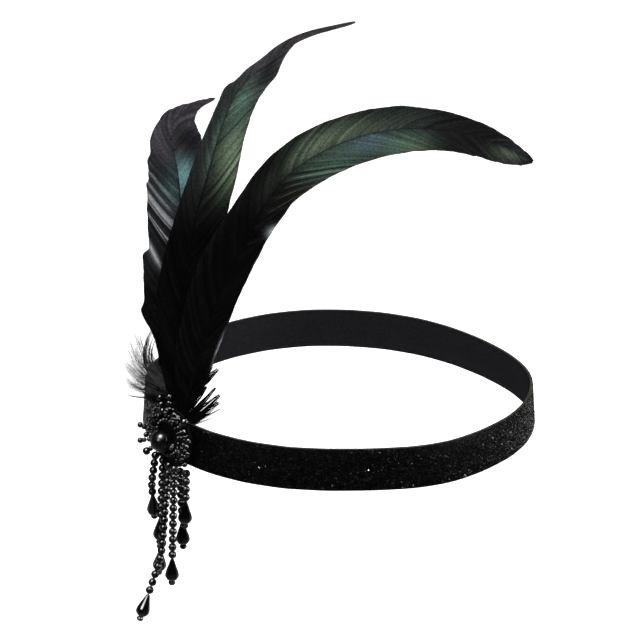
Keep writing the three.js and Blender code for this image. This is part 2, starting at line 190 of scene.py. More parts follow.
# Barbs of the vanes
SHAFT_STEPS = 600
TIP_ROUND = 3.5
LEAST_WIDTH = 0.3
VANE_START = 13.0
VANE_END = 0.6
BARB_PITCH = 0.5
BARB_HALF_THICK = 0.13
BARB_GROOVE = 0.08
BARB_NOTCH = 0.22
BARB_STRAIGHT = 0.62
BARB_SWEEP = 0.97
BARB_THINNING = 0.5
BARB_STATIONS = 12
LEAN_LEAST_WIDTH = 3.0
# Painted shade in the grooves between the barbs
GROOVE_PAINTED_SHADE = 0.82
BARB_END_SHARE = (0.9, 1.0)
BARB_END_TONE = 0.3
UNEVEN_WIDTH = (1, 3)
FOLD_STEEPNESS = 1.2
LOOSE_SHARE = (0.12, 0.34)
GLOSS_SHARE = (0.42, 0.62)
BAND_SOFTNESS = 0.15
# Columns of unevenness along a vane: height, spacing in mm, or 0 where each barb has its own
FOLD_WAVES = [(0.7, 3.2), (0.5, 1.3)]
LOOSE_WAVES = [(0.35, 2.2)]
END_WAVES = [(0.12, 2.5), (0.1, 0), (0.3, 6.0)]
TONE_WAVES = [(0.2, 2.4), (0.16, 0.9), (0.1, 0)]
# Columns of the shaft: share of the length, radius
SHAFT_TAPER = [(0, QUILL_RADIUS), (0.1, 0.95), (0.25, 0.6), (0.6, 0.3), (1, 0.12)]
SHAFT_RINGS = 120
SHAFT_END = 0.5
SHAFT_LEAST_TONE = 0.0005

# Loose barbs at the foot of a feather
DOWN_COUNT = 170
DOWN_RUN = (11, 38)
DOWN_REACH = (1.5, 6.5)
DOWN_CLIMB = (6, 15)
DOWN_RADIUS = (0.14, 0.3)
DOWN_OUT = 0.5
DOWN_ELBOW = (0.7, 0.3)
DOWN_TINT = (0.002, 0.002, 0.002, 1)
TUFT_STATIONS = 9
TUFT_REACH_LOSS = (0, 0.4)
TUFT_LIFT_LOSS = (-0.1, 0.3)
TUFT_ELBOW_DEPTH = 0.3
TUFT_UNEVENNESS = 0.03
TUFT_SHADES = (0.15, 1)
TUFT_THICKNESS = (0.5, 1)
# Places along a lock of barbs, and its width there beside its fullest
LOCK_SWELL = ([0, 0.3, 0.65, 1], [0.5, 1, 0.8, 0.25])

# Loose fibres of all kinds: a direction few of them run in, thickness of the tip, height of the ridge
HAIR_DEPTH = (0.08, 1.0, 0.05)
HAIR_TIP = 0.2
HAIR_RIDGE = 1.4

# Camera and lamps. Columns of lamps: name, place, target, width, height, watts, and whether it is
# seen in reflections alone or lights the matt surfaces alone.
CAMERA_TILT = math.radians(24.3)
CAMERA_ROLL = math.radians(0.45)
CAMERA_DISTANCE = 1.6
CAMERA_AIM_ACROSS = -0.00839
CAMERA_AIM_UP = 0.035
CAMERA_LENS = 196.2
CAMERA_SENSOR = 36
WORLD_STRENGTH = 0.16
FLOOR_HALF = 9.0
FLOOR_LEVEL = -0.3
FLOOR_GLOW = 0.75
LAMPS = [
    ("overhead", (-0.05, -0.05, 1.3), (-0.05, -0.05, 0), 0.3, 0.3, 15, False),
    ("right_side", (1.1, 0.1, 0.42), (0, -0.03, 0.02), 0.3, 0.4, 10, False),
    ("front_fill", (-0.5, -1.4, 0.9), (-0.02, -0.04, 0.06), 0.8, 0.8, 9, False),
    ("key_shine", (-0.25, -0.4, 1.35), (-0.05, -0.05, 0), 0.7, 0.7, 784, True),
    ("left_shine", (-0.75, -1.05, 0.85), (-0.08, -0.08, -0.05), 0.3, 0.5, 118, True),
    ("side_shine", (1.0, -0.25, 0.5), (-0.05, -0.05, 0), 0.5, 0.4, 400, True),
]

# Beaded stalks of the rosette, as in the solids
STALK_COLUMNS = ("angle", "reach", "lift", "bead", "count")
STALK_ROWS = [
    (0, 10, 11.5, 2.2, 2),
    (4, 14.8, 6.8, 2.6, 2),
    (14, 15.6, 6.2, 2.8, 1),
    (-9, 15.3, 6.2, 2.6, 1),
    (-31, 15.7, 6.2, 2.6, 2),
    (31, 14.5, 7, 2.1, 3),
    (45, 16, 6, 4.2, 1),
    (58, 13.5, 6.5, 2.6, 1),
    (71, 13.4, 6.5, 2.6, 1),
    (91, 19.5, 6, 3, 3),
    (108, 18.3, 7, 3, 3),
    (139, 11.4, 8, 2.8, 1),
    (158, 12.5, 8, 2.6, 1),
    (175, 15.6, 9.5, 2.7, 1),
    (190, 11.8, 9, 2.6, 1),
    (201, 14.7, 10.5, 2.7, 1),
    (223, 13.7, 9.5, 3.6, 1),
]
STALKS = [dict(zip(STALK_COLUMNS, row)) for row in STALK_ROWS]

# Tassel strands, as in the solids
STRAND_COLUMNS = ("across", "up", "out", "beads", "outward", "sideways", "curl")
STRAND_ROWS = [
    (-7.5, -11.3, ON_FACE, 6, 3, -8, -13),
    (11.5, -13.8, UNDER_RIM, 4, 2.3, 0, 0),
    (5.9, -15.1, BEHIND_RIM, 7, -1, 1.5, 0),
    (9.3, -11.2, FRONT, 12, 1.5, -0.5, 0),
    (3, -12.1, MIDDLE, 17, 4, -2.4, 18),
    (-1.9, -11.6, ON_FACE, 8, 1.5, -2.5, 0),
    (-3.8, -16, BEHIND_RIM, 12, 0, -7, 0),
]
STRANDS = [dict(zip(STRAND_COLUMNS, row)) for row in STRAND_ROWS]

# Feather colours on a screen, 0 to 255. The greens, teals, blue and olive are painted sheen: the
# feathers' iridescence laid into their colour.
COAL = (8, 8, 8)
SOOT = (24, 24, 25)
SLATE = (40, 41, 43)
MOSS = (42, 51, 45)
GREEN = (110, 126, 104)
SEA = (92, 118, 106)
TEAL = (82, 114, 114)
TEAL_LIT = (116, 158, 156)
# Painted light: the teal of the left feather made lighter, as that feather gets less light than the
# others
BLUE = (84, 102, 120)
OLIVE = (84, 92, 66)
PLUM = (65, 62, 68)
ASH = (60, 58, 62)
# Painted highlight: a pale silver grey laid on the vanes where they catch the light
SILVER_SHEEN = (180, 184, 188)
RUST = (88, 66, 58)

# Feathers. Columns of rows: x, y, z of the shaft, half widths left and right, as in the solids.
# Columns of splits: row at which an edge parts, side, depth in mm, spread in rows. They are a little
# softer than in the solids, and the left feather has two small notches more.
# lean: how far a barb runs towards the tip, in widths. fold: height of the waves in the vane, in mm.
# soften: how many rows on each side an edge is smoothed over. shaft: its tone beside the ground.
# Columns of ground: share of the length, colour.
# Columns of patches: side, share of the length, its spread, share of the width, its spread,
# colour, weight. Columns of bands, which follow the barbs: side, share of the length at the shaft,
# half width in mm, share of the width where it begins, colour, weight.
# Columns of tufts: height on the shaft, reach, lift, bend sideways, bend upwards, count,
# thickest radius, palest tone, scatter, width of the lock they make.
FEATHER_LEFT = {
    "name": "feather_left",
    "across": -4.6,
    "rows": [
        (-73.8, -45.2, 24, 4.4, 4.5),
        (-73, -45, 44.5, 7.6, 8.5),
        (-71.5, -44.4, 62.5, 15.2, 10.5),
        (-70, -43.6, 82.5, 15, 11),
        (-69, -42.5, 104, 15, 11),
        (-70.3, -40.8, 124, 13.6, 11.6),
        (-72.7, -39.2, 137, 10.2, 12.8),
        (-71.3, -38.2, 147.6, 5.8, 12),
        (-64.5, -37.2, 153.6, 1.6, 3.6),
        (-53.5, -36, 157, 0.6, 0.6),
    ],
    "splits": [(3.9, -1, 1.5, 0.6), (5.2, -1, 1.4, 0.6), (6.85, -1, 0.9, 0.3), (7.7, -1, 1.2, 0.4)],
    "lean": (1.25, 1.5),
    "fold": (0.4, 0.12),
    "soften": (4, 24),
    "shaft": 0.5,
    "ground": [(0, COAL), (0.42, COAL), (0.55, SOOT), (0.75, SLATE), (0.86, PLUM), (1, PLUM)],
    "patches": [
        (1, 0.728, 0.045, 0.25, 0.38, TEAL_LIT, 0.95),
        (1, 0.825, 0.055, 0.65, 0.55, SOOT, 0.9),
        (1, 0.63, 0.06, 0.5, 0.6, SLATE, 0.6),
        (-1, 0.7, 0.05, 0.15, 0.4, TEAL, 0.35),
        (-1, 0.655, 0.03, 0.15, 0.3, PLUM, 0.5),
        (-1, 0.5, 0.07, 0.8, 0.5, SLATE, 0.25),
    ],
    # The silver bands on the left vane are painted highlights along its locks of barbs
    "bands": [
        (-1, 0.592, 1.7, 0.1, SILVER_SHEEN, 0.74),
        (-1, 0.575, 0.4, 0.3, SILVER_SHEEN, 0.45),
        (-1, 0.54, 0.8, 0.2, SILVER_SHEEN, 0.7),
        (-1, 0.525, 0.4, 0.45, SILVER_SHEEN, 0.45),
        (-1, 0.452, 2.2, 0.6, SILVER_SHEEN, 0.7),
        (-1, 0.625, 0.7, 0.3, SILVER_SHEEN, 0.3),
        (-1, 0.66, 0.9, 0.35, SILVER_SHEEN, 0.12),
        (-1, 0.61, 0.5, 0.15, COAL, 0.8),
        (-1, 0.565, 0.6, 0.1, COAL, 0.8),
        (-1, 0.555, 0.4, 0.1, SLATE, 0.5),
        (-1, 0.512, 0.8, 0.1, COAL, 0.8),
        (-1, 0.645, 0.7, 0.2, COAL, 0.6),
        (-1, 0.69, 0.6, 0.3, COAL, 0.5),
    ],
    "tufts": [
        (18, -22, 2, 0.7, 0.2, 14, 0.12, 0.02, 0.35, 0),
        (19, -20, 6, 0.7, 0.2, 16, 0.12, 0.02, 0.35, 0),
        (20, -23.5, 10, 0.75, 0.2, 18, 0.11, 0.02, 0.4, 0),
        (21, -21, 13.5, 0.75, 0.2, 18, 0.11, 0.02, 0.4, 0),
        (23, -23, 16.5, 0.75, 0.2, 18, 0.11, 0.02, 0.4, 0),
        (24, -20, 19, 0.8, 0.2, 18, 0.11, 0.02, 0.4, 0),
        (26, -20.5, 23, 0.8, 0.2, 16, 0.11, 0.02, 0.4, 0),
        (27, -16.5, 26, 0.85, 0.2, 14, 0.11, 0.02, 0.4, 0),
        (28, -17.5, 29, 0.85, 0.2, 12, 0.1, 0.02, 0.5, 0),
        (30, -14, 29, 0.9, 0.2, 10, 0.1, 0.02, 0.5, 0),
        (20, -22, 9, 0.75, 0.25, 130, 0.07, 0.1, 1.3, 0),
        (23, -22, 15, 0.75, 0.25, 140, 0.07, 0.1, 1.3, 0),
        (26, -19.5, 23, 0.8, 0.2, 150, 0.07, 0.1, 1.3, 0),
        (46, -15.5, 18, 0.7, 0.3, 34, 0.08, 0.02, 1.0, 0),
        (55, -16, 14, 0.7, 0.3, 28, 0.08, 0.02, 1.0, 0),
        (66, -16.5, 12, 0.6, 0.35, 14, 0.12, 0.02, 0.3, 0),
        (66, -15.5, 9, 0.6, 0.35, 10, 0.12, 0.02, 0.3, 0),
        (27, -8.5, 26, 2.3, 0.12, 9, 0.22, 0.004, 0.15, 0.4),
        (28, -8, 24.5, 2.3, 0.12, 9, 0.22, 0.004, 0.15, 0.4),
        (29, -7.3, 22, 2.2, 0.12, 9, 0.22, 0.004, 0.15, 0.4),
        (30, -6.5, 19, 2.2, 0.12, 9, 0.22, 0.004, 0.15, 0.4),
        (15, -13, 6, 0.6, 0.35, 80, 0.22, 0.006, 1.0, 0),
        (19, -12, 9, 0.6, 0.35, 60, 0.22, 0.006, 1.0, 0),
    ],
}
FEATHER_MIDDLE = {
    "name": "feather_middle",
    "across": 0,
    "rows": [
        (-70.6, -48.8, 26, 6.5, 6),
        (-69.6, -49, 44.5, 9, 9.5),
        (-67.4, -48.8, 72.5, 12, 12.4),
        (-63, -47.8, 102.5, 9.1, 13.2),
        (-57.6, -46.6, 123.5, 7.9, 12.5),
        (-50.4, -45.2, 148.5, 5.8, 10.7),
        (-44, -44.2, 163, 4.9, 9.8),
        (-34, -43.2, 173.5, 3.4, 7.6),
        (-20, -42.2, 185.5, 1.7, 1.6),
        (6.5, -41, 193.7, 0.8, 0.6),
    ],
    "splits": [(8.1, -1, 1.2, 0.6)],
    "lean": (2.2, 2.2),
    "fold": (0.1, 0.16),
    "soften": (8, 8),
    "shaft": 0.6,
    "ground": [(0, COAL), (0.45, COAL), (0.56, SOOT), (0.64, MOSS), (0.72, MOSS), (0.8, ASH), (1, ASH)],
    "patches": [
        (1, 0.615, 0.06, 0.8, 0.5, GREEN, 0.95),
        (1, 0.725, 0.055, 0.45, 0.5, SEA, 0.5),
        (1, 0.805, 0.04, 0.65, 0.4, SOOT, 0.85),
        (-1, 0.69, 0.07, 0.65, 0.5, SLATE, 0.9),
        (-1, 0.58, 0.06, 0.7, 0.5, SLATE, 0.6),
        (-1, 0.62, 0.06, 0.1, 0.3, SEA, 0.4),
        (1, 0.92, 0.05, 0.5, 0.8, RUST, 0.2),
    ],
    "bands": [
        (1, 0.49, 1.0, 0.2, COAL, 0.8),
        (1, 0.52, 0.8, 0.25, COAL, 0.75),
        (1, 0.545, 0.6, 0.3, COAL, 0.6),
        (1, 0.575, 0.4, 0.4, COAL, 0.4),
        (1, 0.6, 0.5, 0.45, SILVER_SHEEN, 0.15),
    ],
    "tufts": [],
}
FEATHER_RIGHT = {
    "name": "feather_right",
    "across": 4.6,
    "rows": [
        (-65, -53, 28.5, 7.5, 6),
        (-59.6, -54.2, 47.5, 12, 7),
        (-48.5, -54.8, 80.5, 14.2, 8.2),
        (-34, -54, 111, 11.8, 8.8),
        (-23.5, -52.5, 126.6, 11.3, 11),
        (-10, -50.5, 136.6, 11.6, 12.2),
        (6, -48, 143.4, 11.2, 12.2),
        (24, -44.5, 146.4, 10.5, 11.6),
        (42, -41, 145.4, 8.8, 10.2),
        (58, -37, 141.2, 6.6, 9.3),
        (72, -34, 134.8, 4.5, 8.2),
        (84.6, -31, 127.2, 1, 2.6),
    ],
    "splits": [(5.3, 1, 0.5, 0.6)],
    "lean": (2.0, 2.6),
    "fold": (0.14, 0.2),
    "soften": (8, 8),
    "shaft": 0.7,
    "ground": [
        (0, COAL),
        (0.45, COAL),
        (0.54, SOOT),
        (0.6, MOSS),
        (0.74, MOSS),
        (0.82, SOOT),
        (0.92, SOOT),
        (0.97, SLATE),
        (1, COAL),
    ],
    "patches": [
        (1, 0.645, 0.055, 0.45, 0.5, SEA, 0.38),
        (1, 0.7, 0.03, 0.3, 0.4, BLUE, 0.5),
        (1, 0.76, 0.045, 0.6, 0.5, SEA, 0.62),
        (1, 0.785, 0.035, 0.9, 0.3, OLIVE, 0.5),
        (1, 0.955, 0.028, 0.4, 0.4, GREEN, 0.3),
        (-1, 0.645, 0.08, 0.3, 0.4, GREEN, 0.56),
        (-1, 0.54, 0.04, 0.85, 0.5, COAL, 0.8),
        (-1, 0.76, 0.06, 0.4, 0.5, SLATE, 0.6),
        (-1, 0.6, 0.25, 1.0, 0.2, SOOT, 0.6),
        (1, 0.7, 0.25, 1.0, 0.05, RUST, 0.5),
        # The silver patch at the foot of the right vane's edge is a painted highlight
        (1, 0.215, 0.025, 1.0, 0.1, SILVER_SHEEN, 0.7),
        (1, 0.452, 0.01, 1.0, 0.3, SILVER_SHEEN, 0.65),
    ],
    "bands": [
        (1, 0.44, 0.6, 0.3, SLATE, 0.5),
        (1, 0.462, 0.5, 0.3, OLIVE, 0.4),
        (1, 0.477, 0.5, 0.2, COAL, 0.9),
        (1, 0.49, 0.5, 0.3, OLIVE, 0.5),
        (1, 0.503, 0.5, 0.15, COAL, 0.9),
        (1, 0.515, 0.5, 0.3, GREEN, 0.45),
        (1, 0.528, 0.5, 0.15, COAL, 0.9),
        (1, 0.539, 0.4, 0.25, GREEN, 0.5),
        (1, 0.55, 0.5, 0.2, COAL, 0.85),
        (1, 0.56, 0.4, 0.25, GREEN, 0.5),
        (1, 0.571, 0.5, 0.25, COAL, 0.8),
        (1, 0.586, 0.4, 0.3, COAL, 0.7),
        (1, 0.603, 0.4, 0.4, COAL, 0.6),
        (1, 0.63, 0.4, 0.5, COAL, 0.5),
        (1, 0.67, 0.4, 0.5, COAL, 0.4),
        (-1, 0.55, 1.2, 0.3, OLIVE, 0.35),
        (-1, 0.52, 1.0, 0.3, COAL, 0.6),
        (-1, 0.58, 0.6, 0.2, COAL, 0.5),
        (-1, 0.6, 0.7, 0.3, OLIVE, 0.3),
    ],
    "tufts": [
        (14.5, 10.5, 13, 0.5, 0.42, 34, 0.3, 0.006, 0.1, 3.2),
        (8, 17, 15.5, 0.5, 0.42, 40, 0.3, 0.006, 0.1, 5.0),
        (7.5, 16.5, 12.5, 0.5, 0.43, 36, 0.3, 0.006, 0.1, 4.0),
        (9.5, 15, 17.5, 0.45, 0.4, 26, 0.3, 0.006, 0.1, 2.4),
        (7.5, 17.5, 9.5, 0.5, 0.45, 9, 0.24, 0.006, 0.08, 1.1),
        (7, 15.5, 6, 0.5, 0.5, 7, 0.2, 0.006, 0.08, 0.8),
        (26, 13.5, 10.5, 0.5, 0.35, 34, 0.3, 0.006, 0.2, 4.2),
        (25, 14.5, 13, 0.55, 0.4, 16, 0.12, 0.03, 0.5, 1.5),
        (28, 10.5, 11, 0.5, 0.35, 26, 0.3, 0.006, 0.15, 3.0),
        (96, 13, 5.5, 0.5, 0.35, 18, 0.1, 0.02, 0.8, 0),
        (104, 13.5, 4.5, 0.5, 0.35, 18, 0.1, 0.02, 0.8, 0),
        (112, 14, 2.5, 0.5, 0.4, 16, 0.1, 0.02, 0.8, 0),
        (24, 9, 9, 0.6, 0.35, 24, 0.3, 0.006, 0.5, 0),
        (18, 7, 9, 0.6, 0.35, 24, 0.3, 0.006, 0.6, 0),
        (12, 6, 12, 0.5, 0.5, 30, 0.3, 0.006, 0.5, 0),
    ],
}
FEATHERS = [FEATHER_LEFT, FEATHER_MIDDLE, FEATHER_RIGHT]


def unit(vectors):
    vectors = np.asarray(vectors, float)
    return vectors / np.maximum(np.linalg.norm(vectors, axis=-1, keepdims=True), 1e-9)


def smoothstep(value, low, high):
    t = np.clip((np.asarray(value, float) - low) / (high - low), 0, 1)
    return t * t * (3 - 2 * t)


def linear(values):
    """Linear light of screen colours from 0 to 255."""
    c = np.asarray(values, float) / 255
    return np.where(c <= 0.04045, c / 12.92, ((c + 0.055) / 1.055) ** 2.4)


def full_turn(steps):
    """Evenly spaced angles, once round."""
    return np.linspace(0, 2 * math.pi, steps, endpoint=False)


def waves_round(turn, waves):
    """Sum of waves round an edge, at angles."""
    return sum(height * np.sin(turn * number + start) for height, number, start in waves)


def columns_at(place, places, columns):
    """Values of a table's columns in between its rows."""
    return np.stack([np.interp(place, places, column) for column in np.asarray(columns).T], axis=-1)


def run_along(path):
    """How far along a path of points each of them lies."""
    return np.concatenate([[0], np.cumsum(np.linalg.norm(np.diff(path, axis=0), axis=1))])


def catmull(rows, place):
    """Centripetal Catmull-Rom curve through rows, at places from 0 to 1."""
    p = np.asarray(rows, float)
    p = np.vstack([2 * p[0] - p[1], p, 2 * p[-1] - p[-2]])
    spans = len(p) - 3
    at = np.clip(np.asarray(place, float), 0, 1) * spans
    i = np.minimum(at.astype(int), spans - 1)
    t = (at - i)[:, None]
    x0, x1, x2, x3 = p[i], p[i + 1], p[i + 2], p[i + 3]
    d0, d1, d2 = (
        np.sum((a - b) ** 2, axis=1)[:, None] ** 0.25 for a, b in ((x0, x1), (x1, x2), (x2, x3))
    )
    d1 = np.where(d1 < 1e-4, 1, d1)
    d0 = np.where(d0 < 1e-4, d1, d0)
    d2 = np.where(d2 < 1e-4, d1, d2)
    m1 = ((x1 - x0) / d0 - (x2 - x0) / (d0 + d1) + (x2 - x1) / d1) * d1
    m2 = ((x2 - x1) / d1 - (x3 - x1) / (d1 + d2) + (x3 - x2) / d2) * d1
    return ((2 * (x1 - x2) + m1 + m2) * t + 3 * (x2 - x1) - 2 * m1 - m2) * t * t + m1 * t + x1


def around_loop(values, turn):
    """Smooth closed curve of numbers through evenly spaced values."""
    values = np.asarray(values, float)
    n = len(values)
    place = (turn - np.floor(turn)) * n
    i = np.floor(place).astype(int)
    before, start, end, after = (values[(i + k) % n] for k in (-1, 0, 1, 2))
    t = place - i
    slope_in = (end - before) / 2
    slope_out = (after - start) / 2
    bend = start - end
    cubic = 2 * bend + slope_in + slope_out
    square = -3 * bend - 2 * slope_in - slope_out
    return ((cubic * t + square) * t + slope_in) * t + start


def loop_point(angle, height, offset):
    """Points on the head loop: offset is measured outwards from the face of the band."""
    angle, height, offset = np.broadcast_arrays(*(np.asarray(v, float) for v in (angle, height, offset)))

    def oval(turn):
        c, s = np.cos(turn), np.sin(turn)
        x = LOOP_HALF_LENGTH * np.sign(c) * np.abs(c) ** LOOP_POWER
        y = LOOP_HALF_WIDTH * np.sign(s) * np.abs(s) ** LOOP_POWER
        return np.stack([x, y], axis=-1)

    step = 0.001
    along = unit(oval(angle + step) - oval(angle - step))
    reach = around_loop(LOOP_BULGE, angle / (2 * math.pi)) + offset - LOOP_SLOPE * height
    flat = oval(angle) + np.stack([along[..., 1], -along[..., 0]], axis=-1) * reach[..., None]
    c, s = math.cos(LOOP_TURN), math.sin(LOOP_TURN)
    x = flat[..., 0] * c - flat[..., 1] * s
    y = flat[..., 0] * s + flat[..., 1] * c
    return np.stack([x, y, height], axis=-1)


def brooch_frame():
    """Middle of the brooch on the band, and its axes: across, up and out."""
    step = 0.05
    a, h = BROOCH_ANGLE, BROOCH_HEIGHT
    across = unit(loop_point(a + step, h, 0) - loop_point(a - step, h, 0))
    slope = loop_point(a, h + 1, 0) - loop_point(a, h - 1, 0)
    out = unit(np.cross(across, slope))
    return loop_point(a, h, 0), np.array([across, np.cross(out, across), out])


BROOCH_CENTRE, BROOCH_AXES = brooch_frame()


def brooch_point(across, up, out):
    return BROOCH_CENTRE + np.stack(np.broadcast_arrays(across, up, out), axis=-1) @ BROOCH_AXES


def disc_point(radius, turn, out):
    """A point over the pad, by its distance and angle from the middle."""
    return brooch_point(radius * np.cos(turn), radius * np.sin(turn), out)


class Shape:
    """Gathers the points, faces, colours and face materials of one piece."""

    def __init__(self):
        self.points = []
        self.faces = []
        self.tints = []
        self.kinds = []
        self.total = 0

    def add(self, points, faces, tint=BLACK, kind=0):
        """kind: which of the piece's materials, for all the faces or for each."""
        points = np.asarray(points, float).reshape(-1, 3)
        start = self.total
        self.faces.extend([[start + k for k in face] for face in faces])
        self.kinds.extend(np.broadcast_to(kind, len(faces)).tolist())
        self.points.append(points)
        self.tints.append(np.broadcast_to(np.asarray(tint, float), (len(points), 4)))
        self.total += len(points)

    def piece(self, name, materials, slot, smooth=True):
        mesh = bpy.data.meshes.new(name)
        mesh.from_pydata((np.vstack(self.points) * MM).tolist(), [], self.faces)
        for material in materials:
            mesh.materials.append(material)
        mesh.polygons.foreach_set("material_index", self.kinds)
        mesh.polygons.foreach_set("use_smooth", [smooth] * len(self.faces))
        layer = mesh.color_attributes.new("tint", "FLOAT_COLOR", "POINT")
        layer.data.foreach_set("color", np.vstack(self.tints).ravel())
        obj = bpy.data.objects.new(name, mesh)
        bpy.context.collection.objects.link(obj)
        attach(obj, "root")
        return obj


def grid_faces(rings, sides, closed_rings=False, capped=True):
    """Faces of a skin over rings of points, each ring closed."""
    faces = []
    for i in range(rings if closed_rings else rings - 1):
        near, far = i * sides, ((i + 1) % rings) * sides
        for j in range(sides):
            k = (j + 1) % sides
            faces.append((near + j, near + k, far + k, far + j))
    if capped and not closed_rings:
        faces.append(tuple(range(sides))[::-1])
        faces.append(tuple(range((rings - 1) * sides, rings * sides)))
    return faces


def axes_along(direction):
    """Rows of three axes, the last one along a direction."""
    direction = unit(direction)
    helper = np.array([0.0, 1.0, 0.0]) if abs(direction[1]) < 0.9 else np.array([1.0, 0.0, 0.0])
    side = unit(np.cross(helper, direction))
    return np.array([side, np.cross(direction, side), direction])


def lathe(profile, sides, closed=False):
    """Points and faces of a turned form about Z. Columns of profile: radius, height."""
    profile = np.asarray(profile, float)
    turn = full_turn(sides)
    x = profile[:, :1] * np.cos(turn)
    y = profile[:, :1] * np.sin(turn)
    z = np.repeat(profile[:, 1:], sides, axis=1)
    return np.stack([x, y, z], axis=-1).reshape(-1, 3), grid_faces(len(profile), sides, closed)


def bead_form(sides, arcs, hole, squash):
    """A drilled round bead of radius 1, its hole along Z and a little narrower inside."""
    edge = math.acos(hole)
    arc = np.linspace(-edge, edge, arcs)
    outer = np.stack([np.cos(arc), np.sin(arc) * squash], axis=1)
    narrow, mouth = hole * 0.85, 0.9
    inner = np.array([[narrow, mouth], [narrow, -mouth]]) * [1, squash]
    return lathe(np.vstack([outer, inner]), sides, closed=True)


def tube(shape, path, radii, sides, tint=BLACK, kind=0):
    """A round bar along a path of points. tint: one colour, or one for each point."""
    path = np.asarray(path, float)
    radii = np.broadcast_to(np.asarray(radii, float), (len(path),))
    ahead = unit(np.gradient(path, axis=0))
    side = unit(np.cross(ahead, axes_along(ahead[0])[0]))
    other = np.cross(side, ahead)
    turn = full_turn(sides)[None, :, None]
    ring = side[:, None] * np.cos(turn) - other[:, None] * np.sin(turn)
    points = path[:, None] + ring * radii[:, None, None]
    tints = np.repeat(np.broadcast_to(tint, (len(path), 4)), sides, axis=0)
    shape.add(points, grid_faces(len(path), sides), tints, kind)


def hairs(shape, curves, radius, tint):
    """Fine three-sided strands that taper to their tips. curves: strands, stations, 3."""
    bars, stations = curves.shape[:2]
    ahead = unit(np.gradient(curves, axis=1))
    across = unit(np.cross(ahead, HAIR_DEPTH))
    lift = np.cross(across, ahead)
    taper = np.linspace(1, HAIR_TIP, stations)[None, :]
    half = (np.broadcast_to(np.asarray(radius, float), (bars,))[:, None] * taper)[..., None]
    corners = [curves - across * half, curves + across * half, curves + lift * (half * HAIR_RIDGE)]
    skin = np.array(grid_faces(stations, 3, capped=False))
    ends = np.array([(2, 1, 0), (3 * stations - 3, 3 * stations - 2, 3 * stations - 1)])
    start = (np.arange(bars) * stations * 3)[:, None, None]
    faces = (skin[None] + start).reshape(-1, 4).tolist() + (ends[None] + start).reshape(-1, 3).tolist()
    tints = np.broadcast_to(np.asarray(tint, float), (bars, stations, 4)).reshape(-1, 4)
    shape.add(np.stack(corners, axis=2), faces, np.repeat(tints, 3, axis=0))


def bezier(a, b, c, stations):
    """Quadratic curves between arrays of points."""
    t = np.linspace(0, 1, stations)[None, :, None]
    a, b, c = (np.atleast_2d(v)[:, None] for v in (a, b, c))
    return a * (1 - t) ** 2 + 2 * b * t * (1 - t) + c * t * t


# Materials

# Specular level of cloth, felt and thread
MATT = 0.002


class Finish:
    """A node material: its shader, and short ways to feed it."""

    def __init__(self, name, specular):
        self.material = bpy.data.materials.new(name)
        self.material.use_nodes = True
        self.nodes = self.material.node_tree.nodes
        self.links = self.material.node_tree.links
        self.shader = self.nodes["Principled BSDF"]
        self.hold("Specular IOR Level", specular)

    def hold(self, key, value):
        """A value that is the same all over."""
        self.shader.inputs[key].default_value = value

    def feed(self, key, source):
        """A value that changes over the surface."""
        self.links.new(source, self.shader.inputs[key])

    def node(self, kind, values, wires):
        """A new node, with plain values and wires on its inputs."""
        made = self.nodes.new(kind)
        for key, value in values.items():
            made.inputs[key].default_value = value
        for key, source in wires.items():
            self.links.new(source, made.inputs[key])
        return made

    def textured(self, kind, values):
        """A texture node in the piece's own lengths, in metres."""
        place = self.nodes.new("ShaderNodeTexCoord")
        return self.node(kind, values, {"Vector": place.outputs["Object"]})

    def noise(self, scale, detail):
        return self.textured("ShaderNodeTexNoise", {"Scale": scale, "Detail": detail}).outputs["Fac"]

    def ramp(self, source, stops):
        """Columns of stops: place, then a colour."""
        ramp = self.node("ShaderNodeValToRGB", {}, {"Fac": source})
        elements = ramp.color_ramp.elements
        elements[0].position, elements[0].color = stops[0][0], (*stops[0][1], 1)
        elements[1].position, elements[1].color = stops[-1][0], (*stops[-1][1], 1)
        for place, colour in stops[1:-1]:
            elements.new(place).color = (*colour, 1)
        return ramp.outputs["Color"]

    def span(self, source, low, high, to_low, to_high):
        """A value carried from one range to another."""
        values = {"From Min": low, "From Max": high, "To Min": to_low, "To Max": to_high}
        return self.node("ShaderNodeMapRange", values, {"Value": source}).outputs["Result"]

    def maths(self, operation, *terms):
        """A sum of wires and plain numbers."""
        made = self.nodes.new("ShaderNodeMath")
        made.operation = operation
        for socket, term in zip(made.inputs, terms):
            if isinstance(term, float):
                socket.default_value = term
            else:
                self.links.new(term, socket)
        return made.outputs["Value"]

    def bump(self, height, strength, distance):
        values = {"Strength": strength, "Distance": distance}
        made = self.node("ShaderNodeBump", values, {"Height": height})
        self.feed("Normal", made.outputs["Normal"])


def tinted_material(name, roughness, metallic, grain, specular, gloss_from_tint=False):
    """Colour from the piece's own tint, broken up by a fine grain."""
    finish = Finish(name, specular)
    tint = finish.nodes.new("ShaderNodeAttribute")
    tint.attribute_name = "tint"
    noise = finish.noise(grain, detail=5)
    shade = finish.ramp(noise, [(0.3, (0.6,) * 3), (0.7, (1.4,) * 3)])
    mix = finish.nodes.new("ShaderNodeMix")
    mix.data_type = "RGBA"
    mix.blend_type = "MULTIPLY"
    mix.inputs["Factor"].default_value = 1
    finish.links.new(tint.outputs["Color"], mix.inputs["A"])
    finish.links.new(shade, mix.inputs["B"])
    finish.feed("Base Color", mix.outputs["Result"])
    finish.feed("Roughness", finish.span(noise, 0.3, 0.7, roughness - 0.06, roughness + 0.06))
    if gloss_from_tint:
        finish.feed("Metallic", finish.span(tint.outputs["Alpha"], 0, 1, 0, metallic))
    else:
        finish.hold("Metallic", metallic)
    return finish.material


def gloss_material(name, colour, roughness, specular):
    """Polished black bead stock with faint clouding."""
    finish = Finish(name, specular)
    noise = finish.noise(scale=260, detail=4)
    finish.feed("Base Color", finish.ramp(noise, [(0.35, [0.7 * c for c in colour]), (0.65, colour)]))
    finish.feed("Roughness", finish.span(noise, 0.3, 0.7, roughness * 0.7, roughness * 1.3))
    return finish.material


